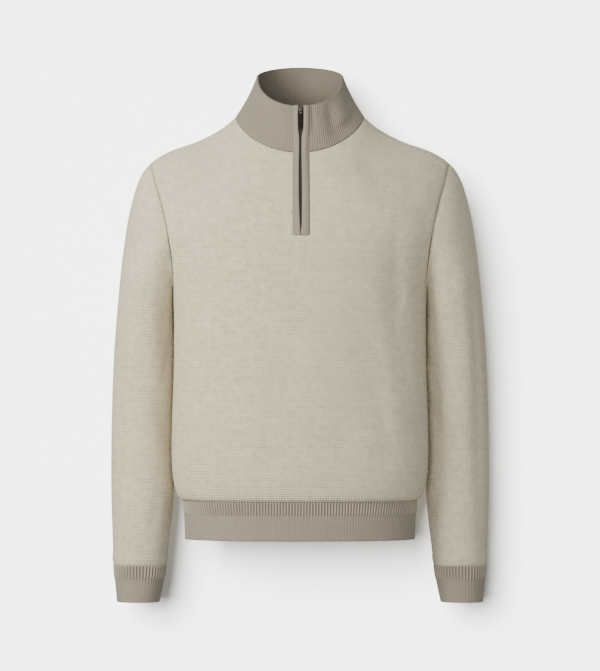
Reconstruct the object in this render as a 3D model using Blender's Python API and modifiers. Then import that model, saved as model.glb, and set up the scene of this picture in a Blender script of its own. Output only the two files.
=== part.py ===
"""A quarter-zip mock-neck sweater, filled out as when it is worn, with its sleeves hanging.

The sweater faces -Y and +Z is up. The origin lies between the two points where the collar meets the
shoulders, so most of the sweater is below it. Tables and sizes are in millimetres, and the meshes are
made in metres. Cloth is a wall between an outer surface and a plain inner one. The outer surfaces of all
pieces meet exactly at the seams, and each piece then stops half a seam gap short of them.
"""

import math
from collections import namedtuple

import bmesh
import bpy
import numpy as np
from mathutils import Vector

MM = 0.001

# Cloth and seams
BODY_THICK = 2.0
HEM_THICK = 2.6
CUFF_THICK = 2.6
COLLAR_THICK = 3.2
SEAM_GAP = 0.3

# The torso at each height: half its width, and its front and back lines at the middle. Above the
# underarm the half width is that of the oval which the armhole cuts off.
Torso = namedtuple("Torso", "height half_width front back")
TORSO = (
    Torso(-670.5, 183.5, -108, 108),
    Torso(-640.0, 184.5, -110, 110),
    Torso(-609.0, 185.5, -111, 111),
    Torso(-606.0, 191.5, -115, 114),
    Torso(-600.0, 195.5, -118, 115),
    Torso(-588.0, 199.5, -121, 115),
    Torso(-560.0, 204.0, -124, 112),
    Torso(-530.0, 205.0, -125, 109),
    Torso(-470.0, 204.0, -126, 103),
    Torso(-400.0, 201.5, -126, 100),
    Torso(-330.0, 201.0, -127, 104),
    Torso(-275.0, 203.0, -128, 111),
    Torso(-226.0, 213.0, -128, 118),
    Torso(-180.0, 232.0, -125, 122),
    Torso(-140.0, 239.0, -118, 122),
    Torso(-100.0, 241.0, -103, 121),
    Torso(-57.0, 241.0, -81, 119),
    Torso(-20.0, 240.0, -68, 117),
    Torso(20.0, 240.0, -60, 114),
)
SIDE_Y = -12.0  # the side seams
BULGE = 2.3  # the exponent of the torso's oval
FRONT_SHOULDER = 150.0  # how far below its top the front reaches its full depth
BACK_SHOULDER = 170.0
SHOULDER_ROUND = 1.8  # the exponent of that rounding

# The top of the shoulder, out from the middle. Inside the collar it goes on up the neck.
Ridge = namedtuple("Ridge", "x y height")
RIDGE = (
    Ridge(0.0, 0, 60),
    Ridge(50.0, 0, 48),
    Ridge(80.0, 0, 27),
    Ridge(103.0, 0, 4),
    Ridge(120.0, 1, -10.5),
    Ridge(139.0, 2, -22.5),
    Ridge(167.0, 2, -36),
    Ridge(203.5, 3, -48.5),
    Ridge(228.5, 4, -61.5),
    Ridge(239.0, 5, -70),
)

# The armhole seam, from the underarm up to the shoulder tip, on the front and on the back.
Armhole = namedtuple("Armhole", "height x")
ARMHOLE = (
    Armhole(-275.0, 203.0),
    Armhole(-262.0, 201.8),
    Armhole(-246.0, 202.0),
    Armhole(-226.0, 203.5),
    Armhole(-194.0, 208.0),
    Armhole(-162.0, 214.0),
    Armhole(-130.0, 222.0),
    Armhole(-105.0, 230.0),
    Armhole(-88.0, 235.0),
    Armhole(-70.0, 239.0),
)

# Sleeve sections after the armhole: the outer and inner points of each, its middle and its half depth.
Sleeve = namedtuple("Sleeve", "outer_x outer_z inner_x inner_z middle_y half_depth")
SLEEVE = (
    Sleeve(249.8, -82, 204.4, -277.5, -3, 64.0),
    Sleeve(260.5, -103, 205.4, -281, -1, 65.0),
    Sleeve(269.0, -132, 206.0, -286, 1, 66.0),
    Sleeve(276.5, -166, 206.0, -292, 4, 67.0),
    Sleeve(282.0, -203, 205.0, -300, 8, 67.5),
    Sleeve(287.0, -243, 203.5, -312, 12, 68.0),
    Sleeve(291.0, -282, 202.0, -328, 17, 67.5),
    Sleeve(294.5, -320, 200.6, -348, 22, 66.5),
    Sleeve(297.5, -357, 199.8, -371, 26, 65.5),
    Sleeve(299.7, -393, 199.8, -398, 30, 64.5),
    Sleeve(301.3, -430, 200.6, -430, 33, 63.5),
    Sleeve(302.5, -470, 201.8, -470, 35, 62.5),
    Sleeve(303.3, -510, 202.8, -510, 36, 61.0),
    Sleeve(303.6, -550, 203.0, -550, 35, 59.5),
    Sleeve(303.4, -590, 202.0, -590, 32, 57.5),
    Sleeve(302.6, -625, 204.6, -625, 29, 55.0),
    Sleeve(301.5, -655, 207.6, -655, 28, 52.5),
    Sleeve(300.6, -685, 211.2, -685, 27, 49.5),
    Sleeve(300.0, -704, 213.6, -704, 27, 46.5),
    Sleeve(299.6, -714, 214.8, -714, 27, 44.5),
)
SLEEVE_BULGE = 2.15
CAP_SECTIONS = 6  # the sections over which the armhole's outline turns into an oval

# Cuffs: the same columns at one height each.
Cuff = namedtuple("Cuff", "height outer_x inner_x middle_y half_depth")
CUFF = (
    Cuff(-714.0, 298.8, 215.2, 27, 44.0),
    Cuff(-738.0, 297.2, 218.4, 26, 41.5),
    Cuff(-773.0, 294.0, 225.6, 25, 37.5),
)

# Collar: the seam round the neck and the rim. Angles start at the middle of the front.
NECK_HALF_WIDTH = 103.0
NECK_FRONT_DROP = 59.5
NECK_FRONT_POWER = 1.3
NECK_BACK_RISE = 10.0
NECK_BACK_POWER = 1.6
NECK_SIDE_Z = 4.0
RIM_HALF_WIDTH = 68.5
RIM_FRONT_DEPTH = 62.0
RIM_BACK_DEPTH = 60.0
RIM_SIDE_Z = 70.0
RIM_FRONT_DROP = 51.0
RIM_FRONT_POWER = 0.9
RIM_BACK_RISE = 17.0
COLLAR_HOLLOW = 3.0  # how far the collar's sides bend in at half its height
FOOT_SHARE = 0.1  # how much of the collar's height sets the lean of its seam

CURVE_STEPS = 361  # how finely a curve is measured before it is divided
ARMHOLE_STEPS = 201

# Ribbing: how many ribs, and how far they stand out at each row of a piece, from its seam on.
HEM_RIBS_HALF = 100
CUFF_RIBS = 52
COLLAR_RIBS = 132
HEM_RELIEF = (0.9, 0.45, 0.45)
CUFF_RELIEF = (0.9, 0.45, 0.45)
COLLAR_RELIEF = (0.0, 0.5, 0.5, 0.4)
COLLAR_ROWS = (0.0, 0.08, 0.55, 1.0)
HEM_ROWS = (-609.0, -632.0, -670.5)

# The slot for the zip, its two bands, and the opening between them.
SLOT_LEFT = -9.8
SLOT_RIGHT = 14.6
SLOT_BOTTOM = -187.0
BAND_GAP = 0.3
BAND_THICK = 1.9  # below the surface of the sweater
Opening = namedtuple("Opening", "height left right")
OPENING = (
    Opening(-186.4, 1.1, 1.6),
    Opening(-172.0, 0.4, 2.6),
    Opening(-150.0, -0.6, 3.0),
    Opening(-115.0, -1.3, 3.2),
    Opening(-73.0, -1.3, 2.6),
    Opening(-50.0, -0.8, 2.4),
    Opening(-32.0, -0.9, 2.6),
    Opening(-18.0, -2.4, 4.9),
    Opening(-4.0, -2.8, 5.5),
    Opening(19.3, -2.8, 5.5),
)
BAND_ROWS = (19.3, 8, -4, -18, -32, -44, -57, -73, -92, -115, -138, -158, -172, -186.4)
# How far a band stands out from the sweater, across its width from its outer edge.
LEFT_BAND_RISE = (0.3, 1.0, 1.1, 1.0, 0.3)
RIGHT_BAND_RISE = (0.2, 1.7, 2.2, 1.7, 0.4)
TAPE_FRONT = 2.4  # the tapes' depth behind the surface
TAPE_THICK = 0.9
TAPE_TOP = 14.0
TAPE_BOTTOM = -184.0
ZIP_X = 1.35

# Slider and pull tab, in the slider's own frame: x across, y into the sweater, z up the zip. The
# bridge is a bar on two legs, and the tab's upper end lies under the bar.
SLIDER_HEIGHT = 11.0
SLIDER_WIDTH = 7.0
SLIDER_FRONT = -1.6
SLIDER_BACK = 1.9
SLIDER_Z = 12.0
SLIDER_ROUND = 0.8
BRIDGE_WIDTH = 2.0
BRIDGE_HALF_LENGTH = 4.2
BRIDGE_LEG = 1.5
BRIDGE_TOP = -5.0
BRIDGE_BAR = 1.2
BRIDGE_SINK = 1.0  # how deep its legs stand in the slider
BRIDGE_ROUND = 0.4
PIN_Y = -2.7  # the hinge line of the tab, under the bridge
TAB_WIDTH = 4.8
TAB_THICK = 1.2
TAB_LENGTH = 31.0
TAB_WINDOW = 2.8
TAB_WINDOW_LENGTH = 5.6
TAB_ROUND = 0.3
ROUND_SEGMENTS = 2
SHARP_ANGLE = 50  # degrees from which an edge of the cloth's walls shows

# Grid sizes
NECK_COLUMNS = 7
SHOULDER_COLUMNS = 5
LOW_ARMHOLE = 4  # steps of the armhole below the slot's bottom
HIGH_ARMHOLE = 6  # and above it
BODY_ROWS = (-609, -606.5, -600, -588, -568, -540, -500, -455, -410, -365, -318)
UNDERARM_ROW = len(BODY_ROWS)
SLOT_ROW = UNDERARM_ROW + LOW_ARMHOLE  # the front panel's row at the slot's bottom
LEFT_EDGE = NECK_COLUMNS + SHOULDER_COLUMNS  # its columns at the slot's edges
RIGHT_EDGE = LEFT_EDGE + 1

# The largest folds. A trough has a depth above zero, a ridge below zero; both fade to their ends.
Fold = namedtuple("Fold", "top_x top_z end_x end_z bow width depth")
FRONT_FOLDS = (
    Fold(150, -170, 178, -455, -14, 20, 5.0),
    Fold(96, -270, 112, -520, 6, 30, 3.5),
    Fold(22, -300, 6, -480, 4, 24, -2.0),
    Fold(-172, -120, -176, -250, -6, 16, 3.5),
    Fold(-150, -400, -120, -560, -8, 26, 2.5),
    Fold(88, -50, 130, -110, 6, 18, 2.5),
)
BACK_FOLDS = (
    Fold(-150, -150, -168, -470, 12, 24, 5.0),
    Fold(145, -170, 160, -430, -10, 24, 4.5),
    Fold(-70, -420, -30, -570, -10, 28, 3.5),
    Fold(60, -400, 90, -560, 12, 26, 3.0),
    Fold(0, -60, 10, -230, 5, 34, 2.5),
)
# Folds of a sleeve: how far along it they start and end, as heights, at which turn round it (0 is the
# outer side, 90 the front, 180 the inner side), half their width in degrees, and their depth.
SleeveFold = namedtuple("SleeveFold", "top end top_turn end_turn width depth")
LEFT_SLEEVE_FOLDS = (
    SleeveFold(-300, -500, 118, 135, 22, 3.5),
    SleeveFold(-440, -560, 150, 95, 18, 2.5),
    SleeveFold(-250, -420, 250, 225, 24, 3.5),
    SleeveFold(-480, -640, 300, 260, 20, 3.0),
)
RIGHT_SLEEVE_FOLDS = (
    SleeveFold(-230, -600, 52, 40, 18, 3.0),
    SleeveFold(-260, -430, 125, 140, 22, 3.5),
    SleeveFold(-430, -540, 110, 150, 18, 2.5),
    SleeveFold(-260, -470, 235, 260, 24, 3.5),
)
SLEEVES = (("sleeve_right", -1, RIGHT_SLEEVE_FOLDS), ("sleeve_left", 1, LEFT_SLEEVE_FOLDS))


# Curves and the body's form


def column(table, name):
    return np.array([getattr(row, name) for row in table], float)


def smooth(places, values, at):
    """The value at a place, on a smooth curve through the points that never overshoots them."""
    places = np.asarray(places, float)
    values = np.asarray(values, float)
    step = np.diff(places)
    slope = np.diff(values) / step
    tangent = np.concatenate([slope[:1], np.zeros(len(slope) - 1), slope[-1:]])
    for i in range(1, len(slope)):
        if slope[i - 1] * slope[i] > 0:
            before = 2 * step[i] + step[i - 1]
            after = step[i] + 2 * step[i - 1]
            tangent[i] = (before + after) / (before / slope[i - 1] + after / slope[i])
    at = np.clip(np.asarray(at, float), places[0], places[-1])
    i = np.clip(np.searchsorted(places, at, side="right") - 1, 0, len(step) - 1)
    t = (at - places[i]) / step[i]
    rise = values[i + 1] - values[i]
    start = tangent[i] * step[i]
    end = tangent[i + 1] * step[i]
    return values[i] + t * (start + t * (3 * rise - 2 * start - end + t * (start + end - 2 * rise)))


def from_table(table, name, at, by="height"):
    return smooth(column(table, by), column(table, name), at)


def power_cos(angle, power):
    """A power of the cosine that keeps the cosine's sign."""
    value = np.cos(angle)
    return np.sign(value) * np.abs(value) ** power


def fold_depth(folds, x, z):
    """How far the folds press in the surface at a place."""
    total = np.zeros(np.shape(x))
    for fold in folds:
        run = np.array([fold.end_x - fold.top_x, fold.end_z - fold.top_z], float)
        length = np.hypot(*run)
        ahead = ((x - fold.top_x) * run[0] + (z - fold.top_z) * run[1]) / length**2
        aside = ((x - fold.top_x) * run[1] - (z - fold.top_z) * run[0]) / length
        inside = np.clip(ahead, 0, 1)
        aside = aside + fold.bow * np.sin(math.pi * inside)
        total = total + fold.depth * np.sin(math.pi * inside) * np.exp(-((aside / fold.width) ** 2))
    return total


def body_y(x, z, front):
    """The depth of the torso's surface, on the front or on the back."""
    x = np.asarray(x, float)
    z = np.asarray(z, float)
    half_width = from_table(TORSO, "half_width", z)
    middle = from_table(TORSO, "front" if front else "back", z)
    share = (1 - np.minimum(np.abs(x) / half_width, 1) ** BULGE) ** (1 / BULGE)
    full = SIDE_Y + (middle - SIDE_Y) * share
    reach = FRONT_SHOULDER if front else BACK_SHOULDER
    below = (from_table(RIDGE, "height", np.abs(x), by="x") - z) / reach
    rounding = (1 - (1 - np.clip(below, 0, 1)) ** SHOULDER_ROUND) ** (1 / SHOULDER_ROUND)
    top = from_table(RIDGE, "y", np.abs(x), by="x")
    press = fold_depth(FRONT_FOLDS if front else BACK_FOLDS, x, z) * share * rounding
    return top + (full - top) * rounding + (press if front else -press)


# The panels' grids: rows from the hem seam up, columns from the middle out


def armhole_points(front):
    """The armhole's points from underarm to tip, evenly spaced below and above the slot's bottom."""
    low = np.linspace(ARMHOLE[0].height, SLOT_BOTTOM, ARMHOLE_STEPS)
    high = np.linspace(SLOT_BOTTOM, ARMHOLE[-1].height, ARMHOLE_STEPS)
    heights = []
    for part, count in ((low, LOW_ARMHOLE + 1), (high, HIGH_ARMHOLE + 1)):
        x = from_table(ARMHOLE, "x", part)
        fine = np.stack([x, body_y(x, part, front), part], axis=1)
        heights.append(resampled(fine, count)[:, 2])
    heights = np.concatenate([heights[0], heights[1][1:]])
    return from_table(ARMHOLE, "x", heights), heights


def section_row(z, inner_x, outer_x):
    """The x of one row's columns, evenly turned round the torso's oval."""
    half_width = float(from_table(TORSO, "half_width", z))
    first = math.asin(min(inner_x / half_width, 1) ** (BULGE / 2))
    last = math.asin(min(outer_x / half_width, 1) ** (BULGE / 2))
    turns = np.linspace(first, last, NECK_COLUMNS + SHOULDER_COLUMNS + 1)
    return half_width * np.sin(turns) ** (2 / BULGE)


def neck_seam(angle):
    """The collar's seam at an angle from the middle of the front, as x and height."""
    front = NECK_SIDE_Z - NECK_FRONT_DROP * power_cos(angle, NECK_FRONT_POWER)
    back = NECK_SIDE_Z - NECK_BACK_RISE * power_cos(angle, NECK_BACK_POWER)
    return NECK_HALF_WIDTH * np.sin(angle), np.where(np.cos(angle) > 0, front, back)


def neck_angles(front, inner_x):
    """The angles of a half panel's neck points, from the middle out."""
    first = math.asin(inner_x / NECK_HALF_WIDTH)
    turns = np.linspace(first, math.pi / 2, NECK_COLUMNS + 1)
    return turns if front else math.pi - turns


def half_panel(front, inner_x):
    """One half of a panel on the +X side, as x and z grids from inner_x out to the side."""
    edge_x, edge_z = armhole_points(front)
    low_x = [section_row(z, inner_x, float(from_table(TORSO, "half_width", z))) for z in BODY_ROWS]
    low_x += [section_row(z, inner_x, x) for x, z in zip(edge_x, edge_z[: LOW_ARMHOLE + 1])]
    low_z = list(BODY_ROWS) + list(edge_z[: LOW_ARMHOLE + 1])
    # the yoke, stretched between the row at the slot's bottom, the armhole, the shoulder and the neck
    neck_x, neck_z = neck_seam(neck_angles(front, inner_x))
    ridge_x = np.linspace(NECK_HALF_WIDTH, RIDGE[-1].x, SHOULDER_COLUMNS + 1)[1:]
    top_x = np.concatenate([neck_x, ridge_x])
    top_z = np.concatenate([neck_z, from_table(RIDGE, "height", ridge_x, by="x")])
    side_x = edge_x[LOW_ARMHOLE:]
    side_z = edge_z[LOW_ARMHOLE:]
    up = ((side_z - side_z[0]) / (side_z[-1] - side_z[0]))[:, None]
    across = np.linspace(0, 1, len(top_x))[None, :]

    def stretch(bottom, top, side, middle):
        corners = (1 - across) * ((1 - up) * bottom[0] + up * top[0])
        corners = corners + across * ((1 - up) * bottom[-1] + up * top[-1])
        return (1 - up) * bottom + up * top + (1 - across) * middle + across * side[:, None] - corners

    yoke_x = stretch(low_x[-1], top_x, side_x, inner_x)
    yoke_z = stretch(np.full(len(top_x), side_z[0]), top_z, side_z, side_z[0] + up * (top_z[0] - side_z[0]))
    x = np.concatenate([np.array(low_x), yoke_x[1:]])
    z = np.concatenate([np.repeat(np.array(low_z)[:, None], len(top_x), axis=1), yoke_z[1:]])
    return x, z


def panel_grid(front):
    """A whole panel's points, and which cells between them are cloth.

    Columns go round the body the way the collar's do: to +X on the front, and to -X on the back.
    """
    left_x, left_z = half_panel(front, -SLOT_LEFT if front else 0.0)
    right_x, right_z = half_panel(front, SLOT_RIGHT if front else 0.0)
    start = 0 if front else 1
    x = np.concatenate([-left_x[:, ::-1], right_x[:, start:]], axis=1)
    z = np.concatenate([left_z[:, ::-1], right_z[:, start:]], axis=1)
    points = np.stack([x, body_y(x, z, front), z], axis=2)
    if not front:
        return points[:, ::-1], None
    cells = np.ones((x.shape[0] - 1, x.shape[1] - 1), bool)
    cells[SLOT_ROW:, LEFT_EDGE] = False
    return points, cells


# Sleeves and cuffs


def oval(turns, bulge):
    """Unit ovals: how far outward, and how far forward, at each turn from the outer point."""
    return power_cos(turns, 2 / bulge), power_cos(turns - math.pi / 2, 2 / bulge)


def sleeve_fold_depth(folds, turn, height):
    total = 0.0
    for fold in folds:
        ahead = min(max((height - fold.top) / (fold.end - fold.top), 0), 1)
        middle = fold.top_turn + ahead * (fold.end_turn - fold.top_turn)
        aside = (math.degrees(turn) - middle) / fold.width
        total += fold.depth * math.sin(math.pi * ahead) * math.exp(-(aside**2))
    return total


def sleeve_grid(hand, front_edge, back_edge, folds):
    """A sleeve's rings from the armhole down, on the side that hand gives. Rings start at the outside.

    front_edge and back_edge are the armhole's points from the underarm to the tip, on that side.
    """
    loop = np.concatenate([front_edge[::-1], back_edge[1:-1]])
    count = len(loop)
    turns = np.arange(count) * 2 * math.pi / count
    out, ahead = oval(turns, SLEEVE_BULGE)
    tip = front_edge[-1]
    underarm = front_edge[0]
    chord = (tip - underarm) * np.array([1, 0, 1])
    half = np.linalg.norm(chord) / 2
    chord = chord / (2 * half)
    square = np.array([-chord[2], 0, chord[0]])
    from_middle = loop - (tip + underarm) / 2
    loop_out = from_middle @ chord / half
    loop_off = from_middle @ square
    middle_y = (loop[:, 1].min() + loop[:, 1].max()) / 2
    loop_ahead = (middle_y - loop[:, 1]) / (np.ptp(loop[:, 1]) / 2)
    rings = [loop]
    for number, row in enumerate(SLEEVE, start=1):
        loop_share = max(1 - number / CAP_SECTIONS, 0)
        outer = np.array([hand * row.outer_x, row.middle_y, row.outer_z])
        inner = np.array([hand * row.inner_x, row.middle_y, row.inner_z])
        axis = (outer - inner) / np.linalg.norm(outer - inner)
        lift = np.array([-axis[2], 0, axis[0]])
        reach = np.linalg.norm(outer - inner) / 2 * (loop_share * loop_out + (1 - loop_share) * out)
        depth = row.half_depth * (loop_share * loop_ahead + (1 - loop_share) * ahead)
        ring = (outer + inner) / 2 + reach[:, None] * axis - depth[:, None] * np.array([0, 1, 0])
        ring = ring + (loop_share * loop_off)[:, None] * lift
        inward = (outer + inner) / 2 - ring
        inward = inward / np.linalg.norm(inward, axis=1)[:, None]
        press = [sleeve_fold_depth(folds, turn, z) for turn, z in zip(turns, ring[:, 2])]
        rings.append(ring + inward * np.array(press)[:, None])
    rings = np.array(rings)
    return rings if hand > 0 else np.roll(rings[:, ::-1], 1, axis=1)


# Collar


def along(points):
    """How far along a line of points each of them is."""
    steps = np.linalg.norm(np.diff(points, axis=0), axis=1)
    return np.concatenate([[0], np.cumsum(steps)])


def resampled(points, count, values=None):
    """Points evenly spaced along a line of points, or what another list holds at those places."""
    distance = along(points)
    stops = np.linspace(0, distance[-1], count)
    values = points if values is None else values
    return np.stack([np.interp(stops, distance, values[:, k]) for k in range(3)], axis=1)


def neck_points():
    """The collar's seam, from the slot's +X edge round by the back to its -X edge."""
    right = np.linspace(math.asin(SLOT_RIGHT / NECK_HALF_WIDTH), math.pi / 2, NECK_COLUMNS + 1)
    back = np.linspace(math.pi / 2, 3 * math.pi / 2, 2 * NECK_COLUMNS + 1)
    last = 2 * math.pi - math.asin(-SLOT_LEFT / NECK_HALF_WIDTH)
    left = np.linspace(3 * math.pi / 2, last, NECK_COLUMNS + 1)
    angles = np.concatenate([right, back[1:-1], left])
    x, z = neck_seam(angles)
    y = np.where(np.cos(angles) > 0, body_y(x, z, True), body_y(x, z, False))
    return np.stack([x, y, z], axis=1)


def rim_point(angle):
    """The collar's rim at an angle from the middle of the front."""
    front = np.cos(angle) > 0
    depth = np.where(front, RIM_FRONT_DEPTH, RIM_BACK_DEPTH)
    drop = RIM_SIDE_Z - RIM_FRONT_DROP * power_cos(angle, RIM_FRONT_POWER)
    rise = RIM_SIDE_Z - RIM_BACK_RISE * np.cos(angle)
    x = RIM_HALF_WIDTH * np.sin(angle)
    return np.stack([x, -depth * np.cos(angle), np.where(front, drop, rise)], axis=-1)


def rim_points():
    first = math.asin(SLOT_RIGHT / RIM_HALF_WIDTH)
    last = 2 * math.pi - math.asin(-SLOT_LEFT / RIM_HALF_WIDTH)
    return rim_point(np.linspace(first, last, CURVE_STEPS))


def collar_grid(columns):
    """The collar's plain outer surface, rows from the seam up to the rim."""
    seam = resampled(neck_points(), columns)
    rim = resampled(rim_points(), columns)
    outward = rim * np.array([1, 1, 0])
    outward = outward / np.linalg.norm(outward, axis=1)[:, None]
    outward[[0, -1], 0] = 0
    rows = []
    for up in COLLAR_ROWS:
        hollow = COLLAR_HOLLOW * 4 * up * (1 - up) * outward[:, :1] ** 2
        rows.append((1 - up) * seam + up * rim - hollow * outward)
    return np.array(rows)


def front_line_y(x, z):
    """The depth of the sweater's front near its middle, on the panel or on the collar above it."""
    side = np.abs(x)
    seam_x, seam_z = neck_seam(np.arcsin(side / NECK_HALF_WIDTH))
    seam_y = body_y(x, seam_z, True)
    rim = rim_point(np.arcsin(side / RIM_HALF_WIDTH))
    up = np.clip((z - seam_z) / (rim[..., 2] - seam_z), 0, 1)
    collar_y = (1 - up) * seam_y + up * rim[..., 1]
    return np.where(z > seam_z, collar_y, body_y(x, np.minimum(z, seam_z), True))


# Surfaces and their directions


def quads(rows, columns, round_it=False, cells=None):
    """The faces of a grid of points. They face out where rows go up and columns go round the body."""
    faces = []
    for r in range(rows - 1):
        for c in range(columns if round_it else columns - 1):
            if cells is None or cells[r, c]:
                low = r * columns
                high = low + columns
                after = (c + 1) % columns
                faces.append((low + c, low + after, high + after, high + c))
    return faces


def joined_directions(surfaces):
    """The outward directions on several surfaces, by grid.

    Each surface is a dict of grids, (points, faces), which it joins smoothly. Where two surfaces meet,
    their walls lean half way between them.
    """
    places = {}
    numbers = {}
    sums = {}
    for surface in surfaces:
        own = {}
        for name, (points, faces) in surface.items():
            keys = [tuple(np.round(p, 2)) for p in points.reshape(-1, 3)]
            number = [places.setdefault(key, len(places)) for key in keys]
            numbers[name] = number
            where = np.array(keys)
            for face in faces:
                a, b, c, d = where[list(face)]
                for corner in face:
                    own[number[corner]] = own.get(number[corner], 0) + np.cross(c - a, d - b)
        for number, direction in own.items():
            sums[number] = sums.get(number, 0) + direction / np.linalg.norm(direction)
    directions = {}
    for surface in surfaces:
        for name, (points, _) in surface.items():
            found = np.array([sums[number] for number in numbers[name]])
            directions[name] = (found / np.linalg.norm(found, axis=1)[:, None]).reshape(points.shape)
    return directions


def without(directions, axis):
    """The same directions turned square to an axis, as at a level edge or at the slot's."""
    turned = directions.copy()
    turned[..., axis] = 0
    return turned / np.linalg.norm(turned, axis=-1)[..., None]


def pull_row(points, row):
    """Moves an edge row half a seam gap towards the next one."""
    towards = points[1 if row == 0 else row - 1] - points[row]
    points[row] += towards / np.linalg.norm(towards, axis=-1)[..., None] * SEAM_GAP / 2


def pull_column(points, edge):
    """Moves an edge column half a seam gap towards the next one."""
    towards = points[:, 1 if edge == 0 else edge - 1] - points[:, edge]
    points[:, edge] += towards / np.linalg.norm(towards, axis=-1)[..., None] * SEAM_GAP / 2


# Objects


def material(name, color, roughness, metallic=0.0):
    made = bpy.data.materials.new(name)
    made.use_nodes = True
    shader = made.node_tree.nodes["Principled BSDF"]
    shader.inputs["Base Color"].default_value = (*color, 1)
    shader.inputs["Roughness"].default_value = roughness
    shader.inputs["Metallic"].default_value = metallic
    return made


def mesh_object(name, points, faces, look):
    """An object from points in millimetres."""
    mesh = bpy.data.meshes.new(name)
    mesh.from_pydata([tuple(p * MM) for p in points], [], faces)
    mesh.validate()
    mesh.materials.append(look)
    mesh.shade_smooth()
    mesh.set_sharp_from_angle(angle=math.radians(SHARP_ANGLE))
    made = bpy.data.objects.new(name, mesh)
    SWEATER.objects.link(made)
    return made


def wall(name, outer, inner, faces, look):
    """A closed wall between an outer and an inner copy of one open surface."""
    outer = outer.reshape(-1, 3)
    inner = inner.reshape(-1, 3)
    count = len(outer)
    edges = {(f[i], f[(i + 1) % 4]) for f in faces for i in range(4)}
    rim = []
    for a, b in sorted(edges):
        if (b, a) not in edges:
            # each part of the rim is split from its lower outer point, as on the wall across the seam
            if outer[a][2] < outer[b][2]:
                rim += [(b, a, b + count), (a, a + count, b + count)]
            else:
                rim += [(b, a, a + count), (b, a + count, b + count)]
    inside = [tuple(i + count for i in reversed(f)) for f in faces]
    return mesh_object(name, np.concatenate([outer, inner]), list(faces) + inside + rim, look)


def ribbed_wall(name, outer, inner, look, round_it):
    """A ribbed outer grid over a plain inner one, which has one step for every two of the outer's."""
    rows, columns = outer.shape[:2]
    inner_rows, inner_columns = inner.shape[:2]
    count = rows * columns
    faces = quads(rows, columns, round_it)
    for face in quads(inner_rows, inner_columns, round_it):
        faces.append(tuple(i + count for i in reversed(face)))
    steps = inner_columns if round_it else inner_columns - 1
    for i in range(steps):
        across = [(2 * i + k) % columns for k in range(3)]
        back = [count + (i + 1) % inner_columns, count + i]
        faces.append(tuple((across + back)[::-1]))
        last = (inner_rows - 1) * inner_columns
        faces.append(tuple([(rows - 1) * columns + k for k in across] + [last + k for k in back]))
    if not round_it:
        up = [r * columns for r in range(rows)]
        down = [count + r * inner_columns for r in reversed(range(inner_rows))]
        faces.append(tuple(up + down))
        up = [r * columns + columns - 1 for r in range(rows)]
        down = [count + (r + 1) * inner_columns - 1 for r in reversed(range(inner_rows))]
        faces.append(tuple(reversed(up + down)))
    points = np.concatenate([outer.reshape(-1, 3), inner.reshape(-1, 3)])
    return mesh_object(name, points, faces, look)


def raised(plain, directions, relief):
    """A plain grid with every other column raised, by each row's relief."""
    outer = plain.copy()
    for row, rise in enumerate(relief):
        outer[row, 1::2] += directions[row, 1::2] * rise
    return outer


# The knitted pieces


def panels_and_sleeves(knit):
    """The front and back panels and the sleeves, walls that share their seams' directions."""
    front, cells = panel_grid(True)
    back, _ = panel_grid(False)
    sleeves = {}
    for name, hand, folds in SLEEVES:
        front_edge = front[UNDERARM_ROW:, -1 if hand > 0 else 0]
        back_edge = back[UNDERARM_ROW:, 0 if hand > 0 else -1]
        sleeves[name] = sleeve_grid(hand, front_edge, back_edge, folds)
    neck = neck_points()
    rim = resampled(rim_points(), len(neck))
    collar_foot = np.stack([neck, (1 - FOOT_SHARE) * neck + FOOT_SHARE * rim])
    torso = {
        "front_panel": (front, quads(*front.shape[:2], cells=cells)),
        "back_panel": (back, quads(*back.shape[:2])),
    }
    arms = {name: (rings, quads(*rings.shape[:2], round_it=True)) for name, rings in sleeves.items()}
    foot = {"collar": (collar_foot, quads(*collar_foot.shape[:2]))}
    directions = joined_directions([torso, arms, foot])
    seam_directions = directions.pop("collar")[0]
    for name, (points, faces) in {**torso, **arms}.items():
        points = points.copy()
        lean = directions[name]
        level_row = -1 if name in sleeves else 0
        lean[level_row] = without(lean[level_row], 2)
        if name == "front_panel":
            lean[SLOT_ROW:, [LEFT_EDGE, RIGHT_EDGE]] = without(lean[SLOT_ROW:, [LEFT_EDGE, RIGHT_EDGE]], 0)
        pull_row(points, 0)
        pull_row(points, len(points) - 1)
        if name not in sleeves:
            pull_column(points, 0)
            pull_column(points, points.shape[1] - 1)
        wall(name, points, points - BODY_THICK * lean, faces, knit)
    return seam_directions


def hem_band(name, front, look):
    """The ribbed hem's front or back half, from side seam to side seam."""
    turns = np.linspace(-math.pi / 2, math.pi / 2, CURVE_STEPS) * (1 if front else -1)
    columns = 2 * HEM_RIBS_HALF + 1
    rows = []
    for z in sorted(HEM_ROWS):
        half_width = float(from_table(TORSO, "half_width", z))
        depth = float(from_table(TORSO, "front" if front else "back", z)) - SIDE_Y
        x = half_width * power_cos(turns - math.pi / 2, 2 / BULGE)
        y = SIDE_Y + depth * np.abs(np.cos(turns)) ** (2 / BULGE)
        rows.append(resampled(np.stack([x, y, np.full(len(x), z)], axis=1), columns))
    plain = np.array(rows)
    plain[-1, :, 2] -= SEAM_GAP / 2
    step = np.gradient(plain, axis=1)
    outward = without(np.stack([step[..., 1], -step[..., 0], 0 * step[..., 0]], axis=-1), 2)
    outward[:, [0, -1], 1] = 0
    pull_column(plain, 0)
    pull_column(plain, columns - 1)
    outer = raised(plain, outward, HEM_RELIEF[::-1])
    inner = (plain - HEM_THICK * outward)[[0, -1], ::2]
    ribbed_wall(name, outer, inner, look, False)


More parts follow.
